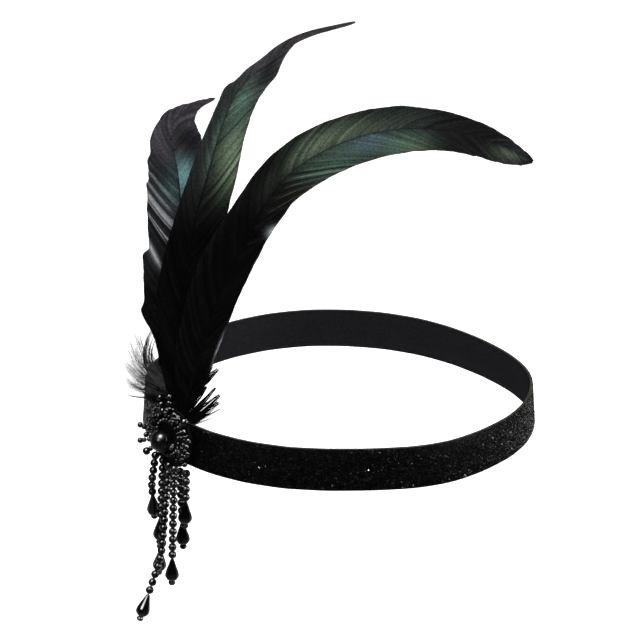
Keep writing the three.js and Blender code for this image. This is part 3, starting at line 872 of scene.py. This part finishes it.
def glitter_base_material():
    """Black glued ground between the flakes, with its own fine facets."""
    finish = Finish("ribbon_glitter_ground", MATT)
    cells = finish.textured("ShaderNodeTexVoronoi", {"Scale": 1900})
    split = finish.node("ShaderNodeSeparateColor", {}, {"Color": cells.outputs["Color"]})
    stops = [(0.0, (0.0006,) * 3), (0.75, (0.0018, 0.0018, 0.002)), (1.0, (0.009, 0.009, 0.01))]
    finish.feed("Base Color", finish.ramp(split.outputs["Red"], stops))
    finish.feed("Roughness", finish.span(split.outputs["Green"], 0, 1, 0.35, 0.8))
    finish.bump(split.outputs["Blue"], strength=0.7, distance=0.0002)
    return finish.material


def weave_material():
    """Charcoal backing cloth: a plain weave drawn along the band's own lengths."""
    finish = Finish("ribbon_backing", MATT)
    uv = finish.nodes.new("ShaderNodeUVMap")
    uv.uv_map = "cloth"
    split = finish.node("ShaderNodeSeparateXYZ", {}, {"Vector": uv.outputs["UV"]})
    scaled = [finish.maths("MULTIPLY", split.outputs[axis], 2 * math.pi / WEAVE_PITCH) for axis in "XY"]
    weave = finish.maths("MULTIPLY", *[finish.maths("SINE", wave) for wave in scaled])
    total = finish.maths("MULTIPLY_ADD", weave, 0.25, finish.noise(scale=900, detail=5))
    stops = [(0.2, (0.0048, 0.0048, 0.0056)), (0.8, (0.0122, 0.0122, 0.0145))]
    finish.feed("Base Color", finish.ramp(total, stops))
    finish.bump(total, strength=0.4, distance=0.0001)
    finish.hold("Roughness", 0.9)
    return finish.material


def fibre_material(name, dark, pale, scale, roughness=0.95):
    """Matted fibres: felt, thread and the cut edge of the ribbon."""
    finish = Finish(name, MATT)
    noise = finish.noise(scale, detail=8)
    finish.feed("Base Color", finish.ramp(noise, [(0.3, dark), (0.7, pale)]))
    finish.bump(noise, strength=0.6, distance=0.0003)
    finish.hold("Roughness", roughness)
    return finish.material


# Numbers of tinted ones: roughness, metal, scale of the grain, specular level. Of glossy ones:
# roughness, specular level. Of fibres: scale, and roughness where it is not the usual.
# The feather tint carries painted sheen and highlights along with the vanes' own colours.
FEATHER = tinted_material("feather_vane", 0.5, 0.005, 1300, 0.001, gloss_from_tint=True)
DOWN = tinted_material("feather_down", 0.6, 0.0, 500, 0.001)
FLAKE = tinted_material("glitter_flake", 0.22, 0.9, 300, 0.02)
JET = gloss_material("jet_bead", (0.0012, 0.0012, 0.0014), 0.13, 0.045)
PEARL = gloss_material("dark_pearl", (0.0015, 0.0015, 0.0018), 0.24, 0.032)
GROUND = glitter_base_material()
BACKING = weave_material()
CUT_EDGE = fibre_material("ribbon_cut_edge", (0.018, 0.0145, 0.0115), (0.07, 0.057, 0.047), 1500)
FELT = fibre_material("brooch_felt", (0.0012, 0.0012, 0.0012), (0.006, 0.006, 0.006), 1400)
THREAD = fibre_material("sewing_thread", (0.0015, 0.0015, 0.0015), (0.006, 0.006, 0.006), 2500, 0.8)


# Band


def make_band():
    """The ribbon: glitter ground outside, woven backing inside, cut edges above and below."""
    half = BAND_HEIGHT / 2
    glitter, weave, cut = range(3)
    # Columns: offset from the outer face, height, kind of face up to the next row
    profile = [
        (0.0, -half + EDGE_SOFT, glitter),
        (0.0, -half / 3, glitter),
        (0.0, half / 3, glitter),
        (0.0, half - EDGE_SOFT, cut),
        (-EDGE_SOFT, half, cut),
        (-BAND_WALL + EDGE_SOFT, half, cut),
        (-BAND_WALL, half - EDGE_SOFT, weave),
        (-BAND_WALL, 0.0, weave),
        (-BAND_WALL, -half + EDGE_SOFT, weave),
        (-BAND_WALL + EDGE_SOFT, -half, cut),
        (-EDGE_SOFT, -half, glitter),
    ]
    sides = len(profile)
    angle = full_turn(LOOP_STEPS)
    offsets, heights, kinds = (np.array(column) for column in zip(*profile))
    # The cut edge runs a little out of true
    wave = waves_round(angle, EDGE_WAVES)
    lifted = heights[None] + wave[:, None] * (np.abs(heights) > half - 1)[None]
    points = loop_point(angle[:, None], lifted, offsets[None])
    faces = [(a, d, c, b) for a, b, c, d in grid_faces(LOOP_STEPS, sides, closed_rings=True)]
    shape = Shape()
    shape.add(points, faces, kind=np.tile(kinds, LOOP_STEPS))
    band = shape.piece("ribbon_band", [GROUND, BACKING, CUT_EDGE], "ribbon")
    mesh = band.data
    layer = mesh.uv_layers.new(name="cloth")
    for polygon in mesh.polygons:
        step = polygon.index // sides
        for loop in polygon.loop_indices:
            vertex = mesh.loops[loop].vertex_index
            turn = vertex // sides
            if step == LOOP_STEPS - 1 and turn == 0:
                turn = LOOP_STEPS
            layer.data[loop].uv = (BAND_LENGTH * turn / LOOP_STEPS, heights[vertex % sides])
    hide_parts("band")
    return band


def make_glitter():
    """Loose flakes glued to the outside of the ribbon, each tilted its own way."""
    rng = np.random.default_rng(SEEDS["glitter"])
    count = GLITTER_COUNT
    reach = BAND_HEIGHT / 2 - GLITTER_MARGIN
    angle = rng.uniform(0, 2 * math.pi, count)
    height = rng.uniform(-reach, reach, count)
    centre = loop_point(angle, height, rng.uniform(*FLAKE_STAND, count))
    out = unit(loop_point(angle, height, 1.0) - loop_point(angle, height, 0.0))
    normal = unit(out + rng.normal(0, FLAKE_TILT, (count, 3)))
    side = unit(np.cross(normal, rng.normal(0, 1, (count, 3))))
    other = np.cross(normal, side)
    size = rng.uniform(*FLAKE_SIZE, count)[:, None, None]
    turn = full_turn(FLAKE_SIDES)[None, :, None]
    ring = centre[:, None] + size * (side[:, None] * np.cos(turn) + other[:, None] * np.sin(turn))
    shade = rng.choice(FLAKE_SHADES, count, p=FLAKE_SHARES)
    green = shade * rng.uniform(*FLAKE_GREEN, count)
    blue = shade * rng.uniform(*FLAKE_BLUE, count)
    tint = np.repeat(np.stack([shade, green, blue, np.ones(count)], axis=1), FLAKE_SIDES, axis=0)
    shape = Shape()
    shape.add(ring, np.arange(count * FLAKE_SIDES).reshape(count, FLAKE_SIDES).tolist(), tint)
    return shape.piece("ribbon_glitter", [FLAKE], "ribbon", smooth=False)


def make_frays():
    """Short cut fibres along both edges of the ribbon."""
    rng = np.random.default_rng(SEEDS["frays"])
    count = FRAY_COUNT
    angle = rng.uniform(0, 2 * math.pi, count)
    end = np.where(rng.random(count) < FRAY_LOWER_SHARE, -1, 1)
    height = end * (BAND_HEIGHT / 2 - FRAY_INSET)
    start = loop_point(angle, height, rng.uniform(*FRAY_ROOT, count))
    length = rng.uniform(*FRAY_LENGTH, count)
    swing = angle + rng.normal(0, FRAY_SWING, count)
    tip = loop_point(swing, height + end * length, rng.uniform(*FRAY_TIP, count))
    bend = (start + tip) / 2 + rng.normal(0, FRAY_BEND, (count, 3))
    shape = Shape()
    hairs(shape, bezier(start, bend, tip, stations=4), FRAY_RADIUS, FRAY_TINT)
    return shape.piece("ribbon_frays", [DOWN], "ribbon")


# Feathers


def wander(places, waves, rng):
    """Seeded unevenness over rising places. Columns of waves: height, spacing or 0."""
    total = np.zeros(len(places))
    for height, spacing in waves:
        if spacing:
            at = (places - places[0]) / spacing
            i = at.astype(int)
            values = rng.normal(0, 1, i[-1] + 2)
            ease = smoothstep(at - i, 0, 1)
            total += height * (values[i] * (1 - ease) + values[i + 1] * ease)
        else:
            total += height * rng.normal(0, 1, len(places))
    return total


def shaft_samples(feather):
    """Places along a feather, with its axes and half widths."""
    quill = [
        (*brooch_point(feather["across"], up, QUILL_OUT), QUILL_RADIUS, QUILL_RADIUS)
        for up in (QUILL_FOOT, QUILL_HEAD)
    ]
    rows = np.array([*quill, *feather["rows"]], float)
    along = np.linspace(0, 1, SHAFT_STEPS)
    centre = catmull(rows[:, :3], along)
    step = 1e-4
    ahead = unit(catmull(rows[:, :3], along + step) - catmull(rows[:, :3], along - step))
    turned = np.minimum(1, along / FACE_TURN_SHARE)
    turn = BASE_FACE_ANGLE + (TIP_FACE_ANGLE - BASE_FACE_ANGLE) * turned
    face = np.stack([np.cos(turn), np.sin(turn), np.zeros(SHAFT_STEPS)], axis=1)
    side = unit(np.cross(ahead, face))
    face = unit(np.cross(side, ahead))
    width = catmull(rows[:, 3:], along)
    for row, which, depth, spread in feather["splits"]:
        distance = (along * (len(rows) - 1) - row) / spread
        width[:, 0 if which < 0 else 1] -= np.sign(distance) * np.maximum(0, 1 - np.abs(distance)) * depth
    run = run_along(centre)
    into_round = np.maximum(0, 1 - (run[-1] - run) / TIP_ROUND)
    width = np.maximum(width * np.sqrt(1 - into_round**2)[:, None], LEAST_WIDTH)
    return {"run": run, "length": run[-1], "centre": centre, "side": side, "face": face, "width": width}


def at_run(shaft, key, run):
    """Centres, axes or widths at distances along the shaft."""
    return columns_at(run, shaft["run"], shaft[key])


def ground_colour(feather, share):
    places, colours = zip(*feather["ground"])
    return columns_at(share, places, linear(colours))


def vane_colour(feather, which, share, across, root_share, length):
    """Ground colour along a vane, soft patches over it, then bands that follow the barbs."""
    colour = ground_colour(feather, share)
    # Patches and bands in the sheen colours and the silver grey paint sheen and highlights into the vane.
    for side, place, spread, middle, breadth, tint, weight in feather["patches"]:
        if side == which:
            reach = ((share - place) / spread) ** 2 + ((across - middle) / breadth) ** 2
            colour = colour + (linear(tint) - colour) * (weight * np.exp(-reach))[..., None]
    for side, place, half, begin, tint, weight in feather["bands"]:
        if side == which:
            near = np.exp(-(((root_share - place) * length / half) ** 2))
            amount = weight * near * smoothstep(across, begin - BAND_SOFTNESS, begin + BAND_SOFTNESS)
            colour = colour + (linear(tint) - colour) * amount[..., None]
    return colour


def soften(rows, reach):
    """Average of each row with its neighbours, run twice."""
    for _ in range(2):
        padded = np.concatenate([rows[:1]] * reach + [rows] + [rows[-1:]] * reach)
        total = np.concatenate([0 * padded[:1], np.cumsum(padded, axis=0)])
        rows = (total[2 * reach + 1 :] - total[: -2 * reach - 1]) / (2 * reach + 1)
    return rows


def add_vane(shape, feather, shaft, which, rng):
    """One side of a feather: rows of barbs joined into one thin closed sheet."""
    index = 0 if which < 0 else 1
    length = shaft["length"]
    root = np.arange(VANE_START, length - VANE_END, BARB_PITCH / 2)
    count = len(root)
    is_barb = np.arange(count) % 2 == 0
    share = root / length

    width_here = at_run(shaft, "width", root)[:, index]
    lean = feather["lean"][index] * np.maximum(width_here, LEAN_LEAST_WIDTH)
    reach = root + lean * (1 - np.exp(-(length - root) / lean))
    reach = np.minimum(np.maximum.accumulate(reach), length)
    edge = at_run(shaft, "width", reach)[:, index]

    t = np.linspace(0, 1, BARB_STATIONS)[None]
    run = root[:, None] + (reach - root)[:, None] * (BARB_STRAIGHT * t + (1 - BARB_STRAIGHT) * t * t)
    aside = edge[:, None] * t**BARB_SWEEP
    fold = feather["fold"][index] * wander(root, FOLD_WAVES, rng)
    fold = fold + (1 - smoothstep(share, *LOOSE_SHARE)) * wander(root, LOOSE_WAVES, rng)
    rise = fold[:, None] * np.sin(np.minimum(t * FOLD_STEEPNESS, 1) * math.pi / 2)
    thick = np.where(is_barb, BARB_HALF_THICK, BARB_GROOVE)[:, None] * (1 - BARB_THINNING * t**4)
    centre, side, face = (at_run(shaft, key, run) for key in ("centre", "side", "face"))
    middle = centre + side * (which * aside)[..., None]
    middle = middle - face * (BLADE_CAMBER * aside**2)[..., None]
    middle = middle + (soften(middle, feather["soften"][index]) - middle) * (t**2)[..., None]
    middle = middle + face * rise[..., None]
    # The free ends of the barbs are uneven
    pull = np.where(is_barb, 0, BARB_NOTCH) + wander(root, END_WAVES, rng)
    last = unit(middle[:, -1] - middle[:, -2])
    middle[:, -1] -= last * (pull * smoothstep(edge, *UNEVEN_WIDTH))[:, None]
    front = middle + face * thick[..., None]
    back = middle - face * thick[..., None]

    # Tones wander from barb to barb, the grooves between the barbs are darkened as painted shade, and the
    # ends of the barbs are darker
    tone = np.exp(wander(root, TONE_WAVES, rng)) * np.where(is_barb, 1.0, GROOVE_PAINTED_SHADE)
    tone = tone[:, None] * (1 - BARB_END_TONE * smoothstep(t, *BARB_END_SHARE))
    place = np.broadcast_to(t, run.shape)
    colour = vane_colour(feather, which, run / length, place, share[:, None], length) * tone[..., None]
    gloss = smoothstep(run / length, *GLOSS_SHARE)[..., None]
    tints = np.concatenate([colour, gloss], axis=-1)

    # Each row is a ring: the front from the shaft out, then the back the way home
    ring = np.concatenate([front, back[:, ::-1]], axis=1)
    ring_tints = np.concatenate([tints, tints[:, ::-1]], axis=1)
    faces = grid_faces(count, 2 * BARB_STATIONS)
    if which > 0:
        faces = [face[::-1] for face in faces]
    shape.add(ring, faces, ring_tints.reshape(-1, 4))


def add_shaft(shape, feather, shaft):
    """Quill and shaft, thick and round below, thin at the tip."""
    run = np.linspace(0, shaft["length"] - SHAFT_END, SHAFT_RINGS)
    share = run / shaft["length"]
    radius = np.interp(share, *zip(*SHAFT_TAPER))
    dark = feather["shaft"] * ground_colour(feather, share) + SHAFT_LEAST_TONE
    tints = np.concatenate([dark, np.ones((len(run), 1))], axis=1)
    tube(shape, at_run(shaft, "centre", run), radius, sides=8, tint=tints)


def add_tuft(shape, shaft, rng, tuft):
    """Barbs that leave the shaft at one height, loose or side by side in a lock."""
    height, reach, lift, bend_aside, bend_up, count, radius, tone, scatter, width = tuft
    height = height + scatter * rng.normal(0, 1.0, count)
    start = columns_at(height, shaft["centre"][:, 2], shaft["centre"])
    reach = reach * (1 - scatter * rng.uniform(*TUFT_REACH_LOSS, count))
    lift = lift * (1 - scatter * rng.uniform(*TUFT_LIFT_LOSS, count))
    depth = scatter * rng.normal(0, 1.0, count)
    elbow = start + np.stack([bend_aside * reach, TUFT_ELBOW_DEPTH * depth, bend_up * lift], axis=1)
    tip = start + np.stack([reach, depth, lift], axis=1)
    curves = bezier(start, elbow, tip, TUFT_STATIONS)
    place = (np.linspace(-0.5, 0.5, count) + rng.normal(0, TUFT_UNEVENNESS, count)) * width
    swell = np.interp(np.linspace(0, 1, TUFT_STATIONS), *LOCK_SWELL)
    aside = unit(np.cross(np.gradient(curves, axis=1), np.array([0.0, -1.0, 0.0])))
    curves = curves + aside * (place[:, None] * swell[None])[..., None]
    shade = tone * rng.uniform(*TUFT_SHADES, count)
    tint = np.stack([shade, shade, shade, np.ones(count)], axis=1)[:, None]
    hairs(shape, curves, radius * rng.uniform(*TUFT_THICKNESS, count), tint)


def make_down(feather, shaft, rng):
    """Loose barbs at the foot of a feather: dark ones round the quill, then its tufts."""
    shape = Shape()
    count = DOWN_COUNT
    run = rng.uniform(*DOWN_RUN, count)
    which = rng.choice([-1.0, 1.0], count)
    start, side, face = (at_run(shaft, key, run) for key in ("centre", "side", "face"))
    ahead = unit(at_run(shaft, "centre", run + 1) - start)
    reach = which * rng.uniform(*DOWN_REACH, count)
    out = rng.normal(0, DOWN_OUT, count)
    climb = rng.uniform(*DOWN_CLIMB, count)
    elbow = start + side * (DOWN_ELBOW[0] * reach)[:, None] + ahead * (DOWN_ELBOW[1] * climb)[:, None]
    tip = start + side * reach[:, None] + ahead * climb[:, None] + face * out[:, None]
    hairs(shape, bezier(start, elbow, tip, stations=6), rng.uniform(*DOWN_RADIUS, count), DOWN_TINT)
    for tuft in feather["tufts"]:
        add_tuft(shape, shaft, rng, tuft)
    shape.piece(feather["name"] + "_down", [DOWN], "feather")


def make_feather(feather, seed):
    rng = np.random.default_rng(seed)
    shaft = shaft_samples(feather)
    shape = Shape()
    add_shaft(shape, feather, shaft)
    add_vane(shape, feather, shaft, -1, rng)
    add_vane(shape, feather, shaft, 1, rng)
    piece = shape.piece(feather["name"] + "_vanes", [FEATHER], "feather")
    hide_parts(feather["name"])
    make_down(feather, shaft, rng)


# Brooch


def make_pad():
    """Felt disc with a soft edge, a wavy cut and short fibres round it."""
    rim = PAD_THICKNESS / 2
    arc = np.linspace(-math.pi / 2, math.pi / 2, 7)
    profile = [(0.01, -rim), (PAD_RADIUS / 2, -rim)]
    profile += [(PAD_RADIUS - PAD_EDGE + PAD_EDGE * math.cos(a), rim * math.sin(a)) for a in arc]
    profile += [(PAD_RADIUS / 2, rim), (0.01, rim)]
    points, faces = lathe(profile, PAD_SIDES)
    turn = np.arctan2(points[:, 1], points[:, 0])
    points[:, :2] *= (1 + waves_round(turn, PAD_WAVES))[:, None]
    points[:, 2] += PAD_BACK + rim
    shape = Shape()
    shape.add(BROOCH_CENTRE + points @ BROOCH_AXES, faces)
    rng = np.random.default_rng(SEEDS["pad"])
    count = PAD_FIBRES
    turn = rng.uniform(0, 2 * math.pi, count)
    radius = PAD_RADIUS + rng.uniform(*PAD_FIBRE_ROOT, count)
    out = PAD_BACK + rng.uniform(0.1, PAD_THICKNESS, count)
    start = disc_point(radius, turn, out)
    swing = turn + rng.normal(0, PAD_FIBRE_SWING, count)
    far = radius + rng.uniform(*PAD_FIBRE_LENGTH, count)
    tip = disc_point(far, swing, out + rng.normal(0, PAD_FIBRE_LIFT, count))
    hairs(shape, bezier(start, (start + tip) / 2, tip, stations=3), PAD_FIBRE_RADIUS, BLACK)
    piece = shape.piece("felt_pad", [FELT], "felt")
    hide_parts("rosette_pad")
    return piece


def add_bead(shape, form, centre, direction, radius):
    points, faces = form
    shape.add(np.asarray(centre) + radius * points @ axes_along(direction), faces)


def strand_path(strand):
    """Bead centres from the top down, and the direction in which the strand ends."""
    down = np.array([0.0, 0.0, -1.0])
    outwards = unit(BROOCH_AXES[2] * [1, 1, 0])
    rightwards = BROOCH_AXES[0]
    centres = [brooch_point(strand["across"], strand["up"], strand["out"])]
    beads = strand["beads"]
    for i in range(1, beads + 1):
        bent = strand["curl"] * smoothstep(i / beads, CURL_START, CURL_END)
        lean = math.radians(strand["outward"] + float(bent))
        end = down + outwards * math.tan(lean) + rightwards * math.tan(math.radians(strand["sideways"]))
        end = unit(end)
        if i < beads:
            centres.append(centres[-1] + end * BEAD_PITCH)
    return np.array(centres), end


def add_string(shape, form, path, radius, pitch, first, last):
    """Beads threaded on a path, between two distances along it, from its end backwards."""
    run = run_along(path)
    for place in np.arange(last, first, -pitch):
        centre, before, after = columns_at(place + np.array([0, -0.3, 0.3]), run, path)
        add_bead(shape, form, centre, after - before, radius)


def add_stalk(shape, stalk, seed_form, tip_form):
    """A thread that rises from the ring, strung with seed beads and tipped with larger ones."""
    turn = math.radians(stalk["angle"])
    reach, lift, bead = stalk["reach"], stalk["lift"], stalk["bead"]
    radius = np.array([RING_RADIUS, (RING_RADIUS + reach) / 2, reach])
    corners = disc_point(radius, turn, np.array([RING_OUT, lift, lift]))
    path = bezier(*corners, STALK_STEPS)[0]
    length = run_along(path)[-1]
    tube(shape, path, THREAD_RADIUS, sides=5, kind=1)
    inner = length - (stalk["count"] - 1) * bead
    add_string(shape, tip_form, path, bead / 2, bead, inner - 0.1, length)
    seeds_end = inner - bead / 2 - SEED_HALF_LENGTH
    add_string(shape, seed_form, path, SEED_RADIUS, SEED_PITCH, SEED_START, seeds_end)


def make_rosette():
    """Seed beads round the pearl, sprays tipped with larger beads, small loops and their threads."""
    rng = np.random.default_rng(SEEDS["rosette"])
    shape = Shape()
    small = bead_form(*SEED_FORM)
    large = bead_form(*TIP_FORM)
    # The upper beads of the strands, which the small beads keep clear of
    taken = np.vstack([strand_path(strand)[0][:3] for strand in STRANDS])

    for radius, out, count, size, jitter in RINGS:
        for k in range(count):
            turn = 2 * math.pi * k / count + rng.normal(0, jitter)
            centre = disc_point(radius + rng.normal(0, 4 * jitter), turn, out)
            if np.linalg.norm(taken - centre, axis=1).min() < size + BEAD_RADIUS:
                continue
            along = -math.sin(turn) * BROOCH_AXES[0] + math.cos(turn) * BROOCH_AXES[1]
            add_bead(shape, small, centre, along + rng.normal(0, RING_BEAD_TILT, 3), size)

    for stalk in STALKS:
        add_stalk(shape, stalk, small, large)

    # Small upright loops between the sprays
    swing = np.linspace(-math.pi / 2, 1.5 * math.pi, BEAD_LOOP_STEPS)
    for angle in BEAD_LOOP_ANGLES:
        turn = math.radians(angle)
        reach = BEAD_LOOP_REACH + rng.uniform(*BEAD_LOOP_SHIFT)
        tilt = rng.normal(0, BEAD_LOOP_TILT)
        radius = reach + BEAD_LOOP_RADIUS * np.cos(swing)
        out = BEAD_LOOP_OUT + BEAD_LOOP_RADIUS * np.sin(swing)
        aside = tilt * (out - PAD_FACE)
        c, s = math.cos(turn), math.sin(turn)
        path = brooch_point(radius * c - aside * s, radius * s + aside * c, out)
        if np.linalg.norm(taken[:, None] - path[None], axis=2).min() < BEAD_RADIUS + BEAD_LOOP_CLEARANCE:
            continue
        length = run_along(path)[-1]
        add_string(shape, small, path, BEAD_LOOP_BEAD, length / BEAD_LOOP_BEADS, 0.1, length)
    piece = shape.piece("bead_sprays", [JET, THREAD], "jet_beads")
    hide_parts("bead_rosette")


def make_pearl():
    """Large drilled bead, held by a thread across the felt."""
    shape = Shape()
    centre = brooch_point(0, PEARL_DROP, PAD_FACE + GAP + PEARL_RADIUS)
    add_bead(shape, bead_form(*PEARL_FORM), centre, BROOCH_AXES[0], PEARL_RADIUS)
    ends = [brooch_point(s * PEARL_RADIUS * 1.05, PEARL_DROP, PAD_FACE - 0.2) for s in (-1, 1)]
    sides = [centre + s * PEARL_RADIUS * 0.97 * BROOCH_AXES[0] for s in (-1, 1)]
    path = np.array([ends[0], sides[0], centre, sides[1], ends[1]])
    tube(shape, catmull(path, np.linspace(0, 1, 40)), PEARL_THREAD_RADIUS, sides=6, kind=1)
    piece = shape.piece("dark_pearl_bead", [PEARL, THREAD], "dark_pearl")
    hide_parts("pearl")


# Tassel


def make_strand(number, strand):
    """Round beads on a thread, which starts in the felt where the strand hangs in front of it."""
    rng = np.random.default_rng(SEEDS["strands"] + number)
    centres, end = strand_path(strand)
    form = bead_form(*STRAND_FORM)
    shape = Shape()
    for i, centre in enumerate(centres):
        ahead = centres[i + 1] - centre if i + 1 < len(centres) else end
        ahead = unit(ahead) + rng.normal(0, BEAD_TILT, 3)
        add_bead(shape, form, centre, ahead, BEAD_RADIUS * rng.uniform(*BEAD_SIZE))
    top = centres[0] + np.array([0, 0, BEAD_RADIUS * 0.9])
    thread = [top, *centres, centres[-1] + end * BEAD_PITCH * 0.6]
    if strand["out"] >= ON_FACE:
        sewn = brooch_point(strand["across"], strand["up"] + BEAD_RADIUS * 1.2, PAD_FACE - THREAD_SUNK)
        thread.insert(0, sewn)
    tube(shape, thread, THREAD_RADIUS, sides=6, kind=1)
    piece = shape.piece(f"bead_string_{number}", [JET, THREAD], "jet_beads")
    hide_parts(f"tassel_strand_{number}")


def make_teardrop(number, strand):
    """Faceted drop with its end bead, below the last bead of a strand."""
    centres, end = strand_path(strand)
    outline = catmull(DROP_PROFILE, np.linspace(0, 1, DROP_RINGS))
    outline[:, 0] = np.maximum(outline[:, 0], DROP_BORE)
    points, faces = lathe(outline * [1, -1], DROP_SIDES)
    facet = 2 * math.pi / DROP_FACETS
    turn = np.arctan2(points[:, 1], points[:, 0]) % facet - facet / 2
    flat = math.cos(facet / 2) / np.cos(turn)
    points[:, :2] *= (1 - DROP_FLATNESS + DROP_FLATNESS * flat)[:, None]
    top = centres[-1] + end * (BEAD_PITCH / 2 + GAP)
    shape = Shape()
    shape.add(top + points @ axes_along(-end), [face[::-1] for face in faces])
    piece = shape.piece(f"teardrop_{number}", [JET], "jet_beads")
    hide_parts(f"drop_{number}")


# Stage, light and camera


def make_stage():
    mesh = bpy.data.meshes.new("floor")
    corners = [(-FLOOR_HALF, -FLOOR_HALF), (FLOOR_HALF, -FLOOR_HALF)]
    corners += [(FLOOR_HALF, FLOOR_HALF), (-FLOOR_HALF, FLOOR_HALF)]
    mesh.from_pydata([(x, y, FLOOR_LEVEL) for x, y in corners], [], [(0, 1, 2, 3)])
    floor = bpy.data.objects.new("floor", mesh)
    bpy.context.collection.objects.link(floor)
    finish = Finish("pale_floor", specular=0.1)
    noise = finish.noise(scale=1.5, detail=2)
    finish.feed("Base Color", finish.ramp(noise, [(0.3, (0.88,) * 3), (0.7, (0.9,) * 3)]))
    finish.hold("Roughness", 0.9)
    finish.hold("Emission Color", (1, 1, 1, 1))
    finish.hold("Emission Strength", FLOOR_GLOW)
    mesh.materials.append(finish.material)


def make_light():
    scene = bpy.context.scene
    scene.world = scene.world or bpy.data.worlds.new("studio")
    scene.world.use_nodes = True
    background = scene.world.node_tree.nodes["Background"]
    background.inputs["Color"].default_value = (1, 1, 1, 1)
    background.inputs["Strength"].default_value = WORLD_STRENGTH
    scene.view_settings.view_transform = "Standard"
    for name, place, target, width, height, power, shine in LAMPS:
        data = bpy.data.lights.new(name, "AREA")
        data.shape = "RECTANGLE"
        data.size, data.size_y = width, height
        data.energy = power
        lamp = bpy.data.objects.new(name, data)
        lamp.location = place
        lamp.rotation_euler = (Vector(target) - Vector(place)).to_track_quat("-Z", "Y").to_euler()
        lamp.visible_glossy = shine
        lamp.visible_diffuse = not shine
        bpy.context.collection.objects.link(lamp)


def make_camera():
    data = bpy.data.cameras.new("camera")
    data.sensor_width = CAMERA_SENSOR
    data.lens = CAMERA_LENS
    camera = bpy.data.objects.new("camera", data)
    level, rise = math.cos(CAMERA_TILT), math.sin(CAMERA_TILT)
    place = Vector((0, -CAMERA_DISTANCE * level, CAMERA_DISTANCE * rise))
    aim = Vector((CAMERA_AIM_ACROSS, CAMERA_AIM_UP * rise, CAMERA_AIM_UP * level))
    turn = (aim - place).to_track_quat("-Z", "Y").to_matrix().to_4x4()
    camera.matrix_world = Matrix.Translation(place) @ turn @ Matrix.Rotation(CAMERA_ROLL, 4, "Z")
    bpy.context.collection.objects.link(camera)
    bpy.context.scene.camera = camera


make_camera()
make_light()
make_stage()
band = make_band()
glitter = make_glitter()
frays = make_frays()
pad = make_pad()
for place, feather in enumerate(FEATHERS):
    make_feather(feather, SEEDS["feathers"] + place)
make_rosette()
make_pearl()
for number, strand in enumerate(STRANDS, 1):
    make_strand(number, strand)
    make_teardrop(number, strand)
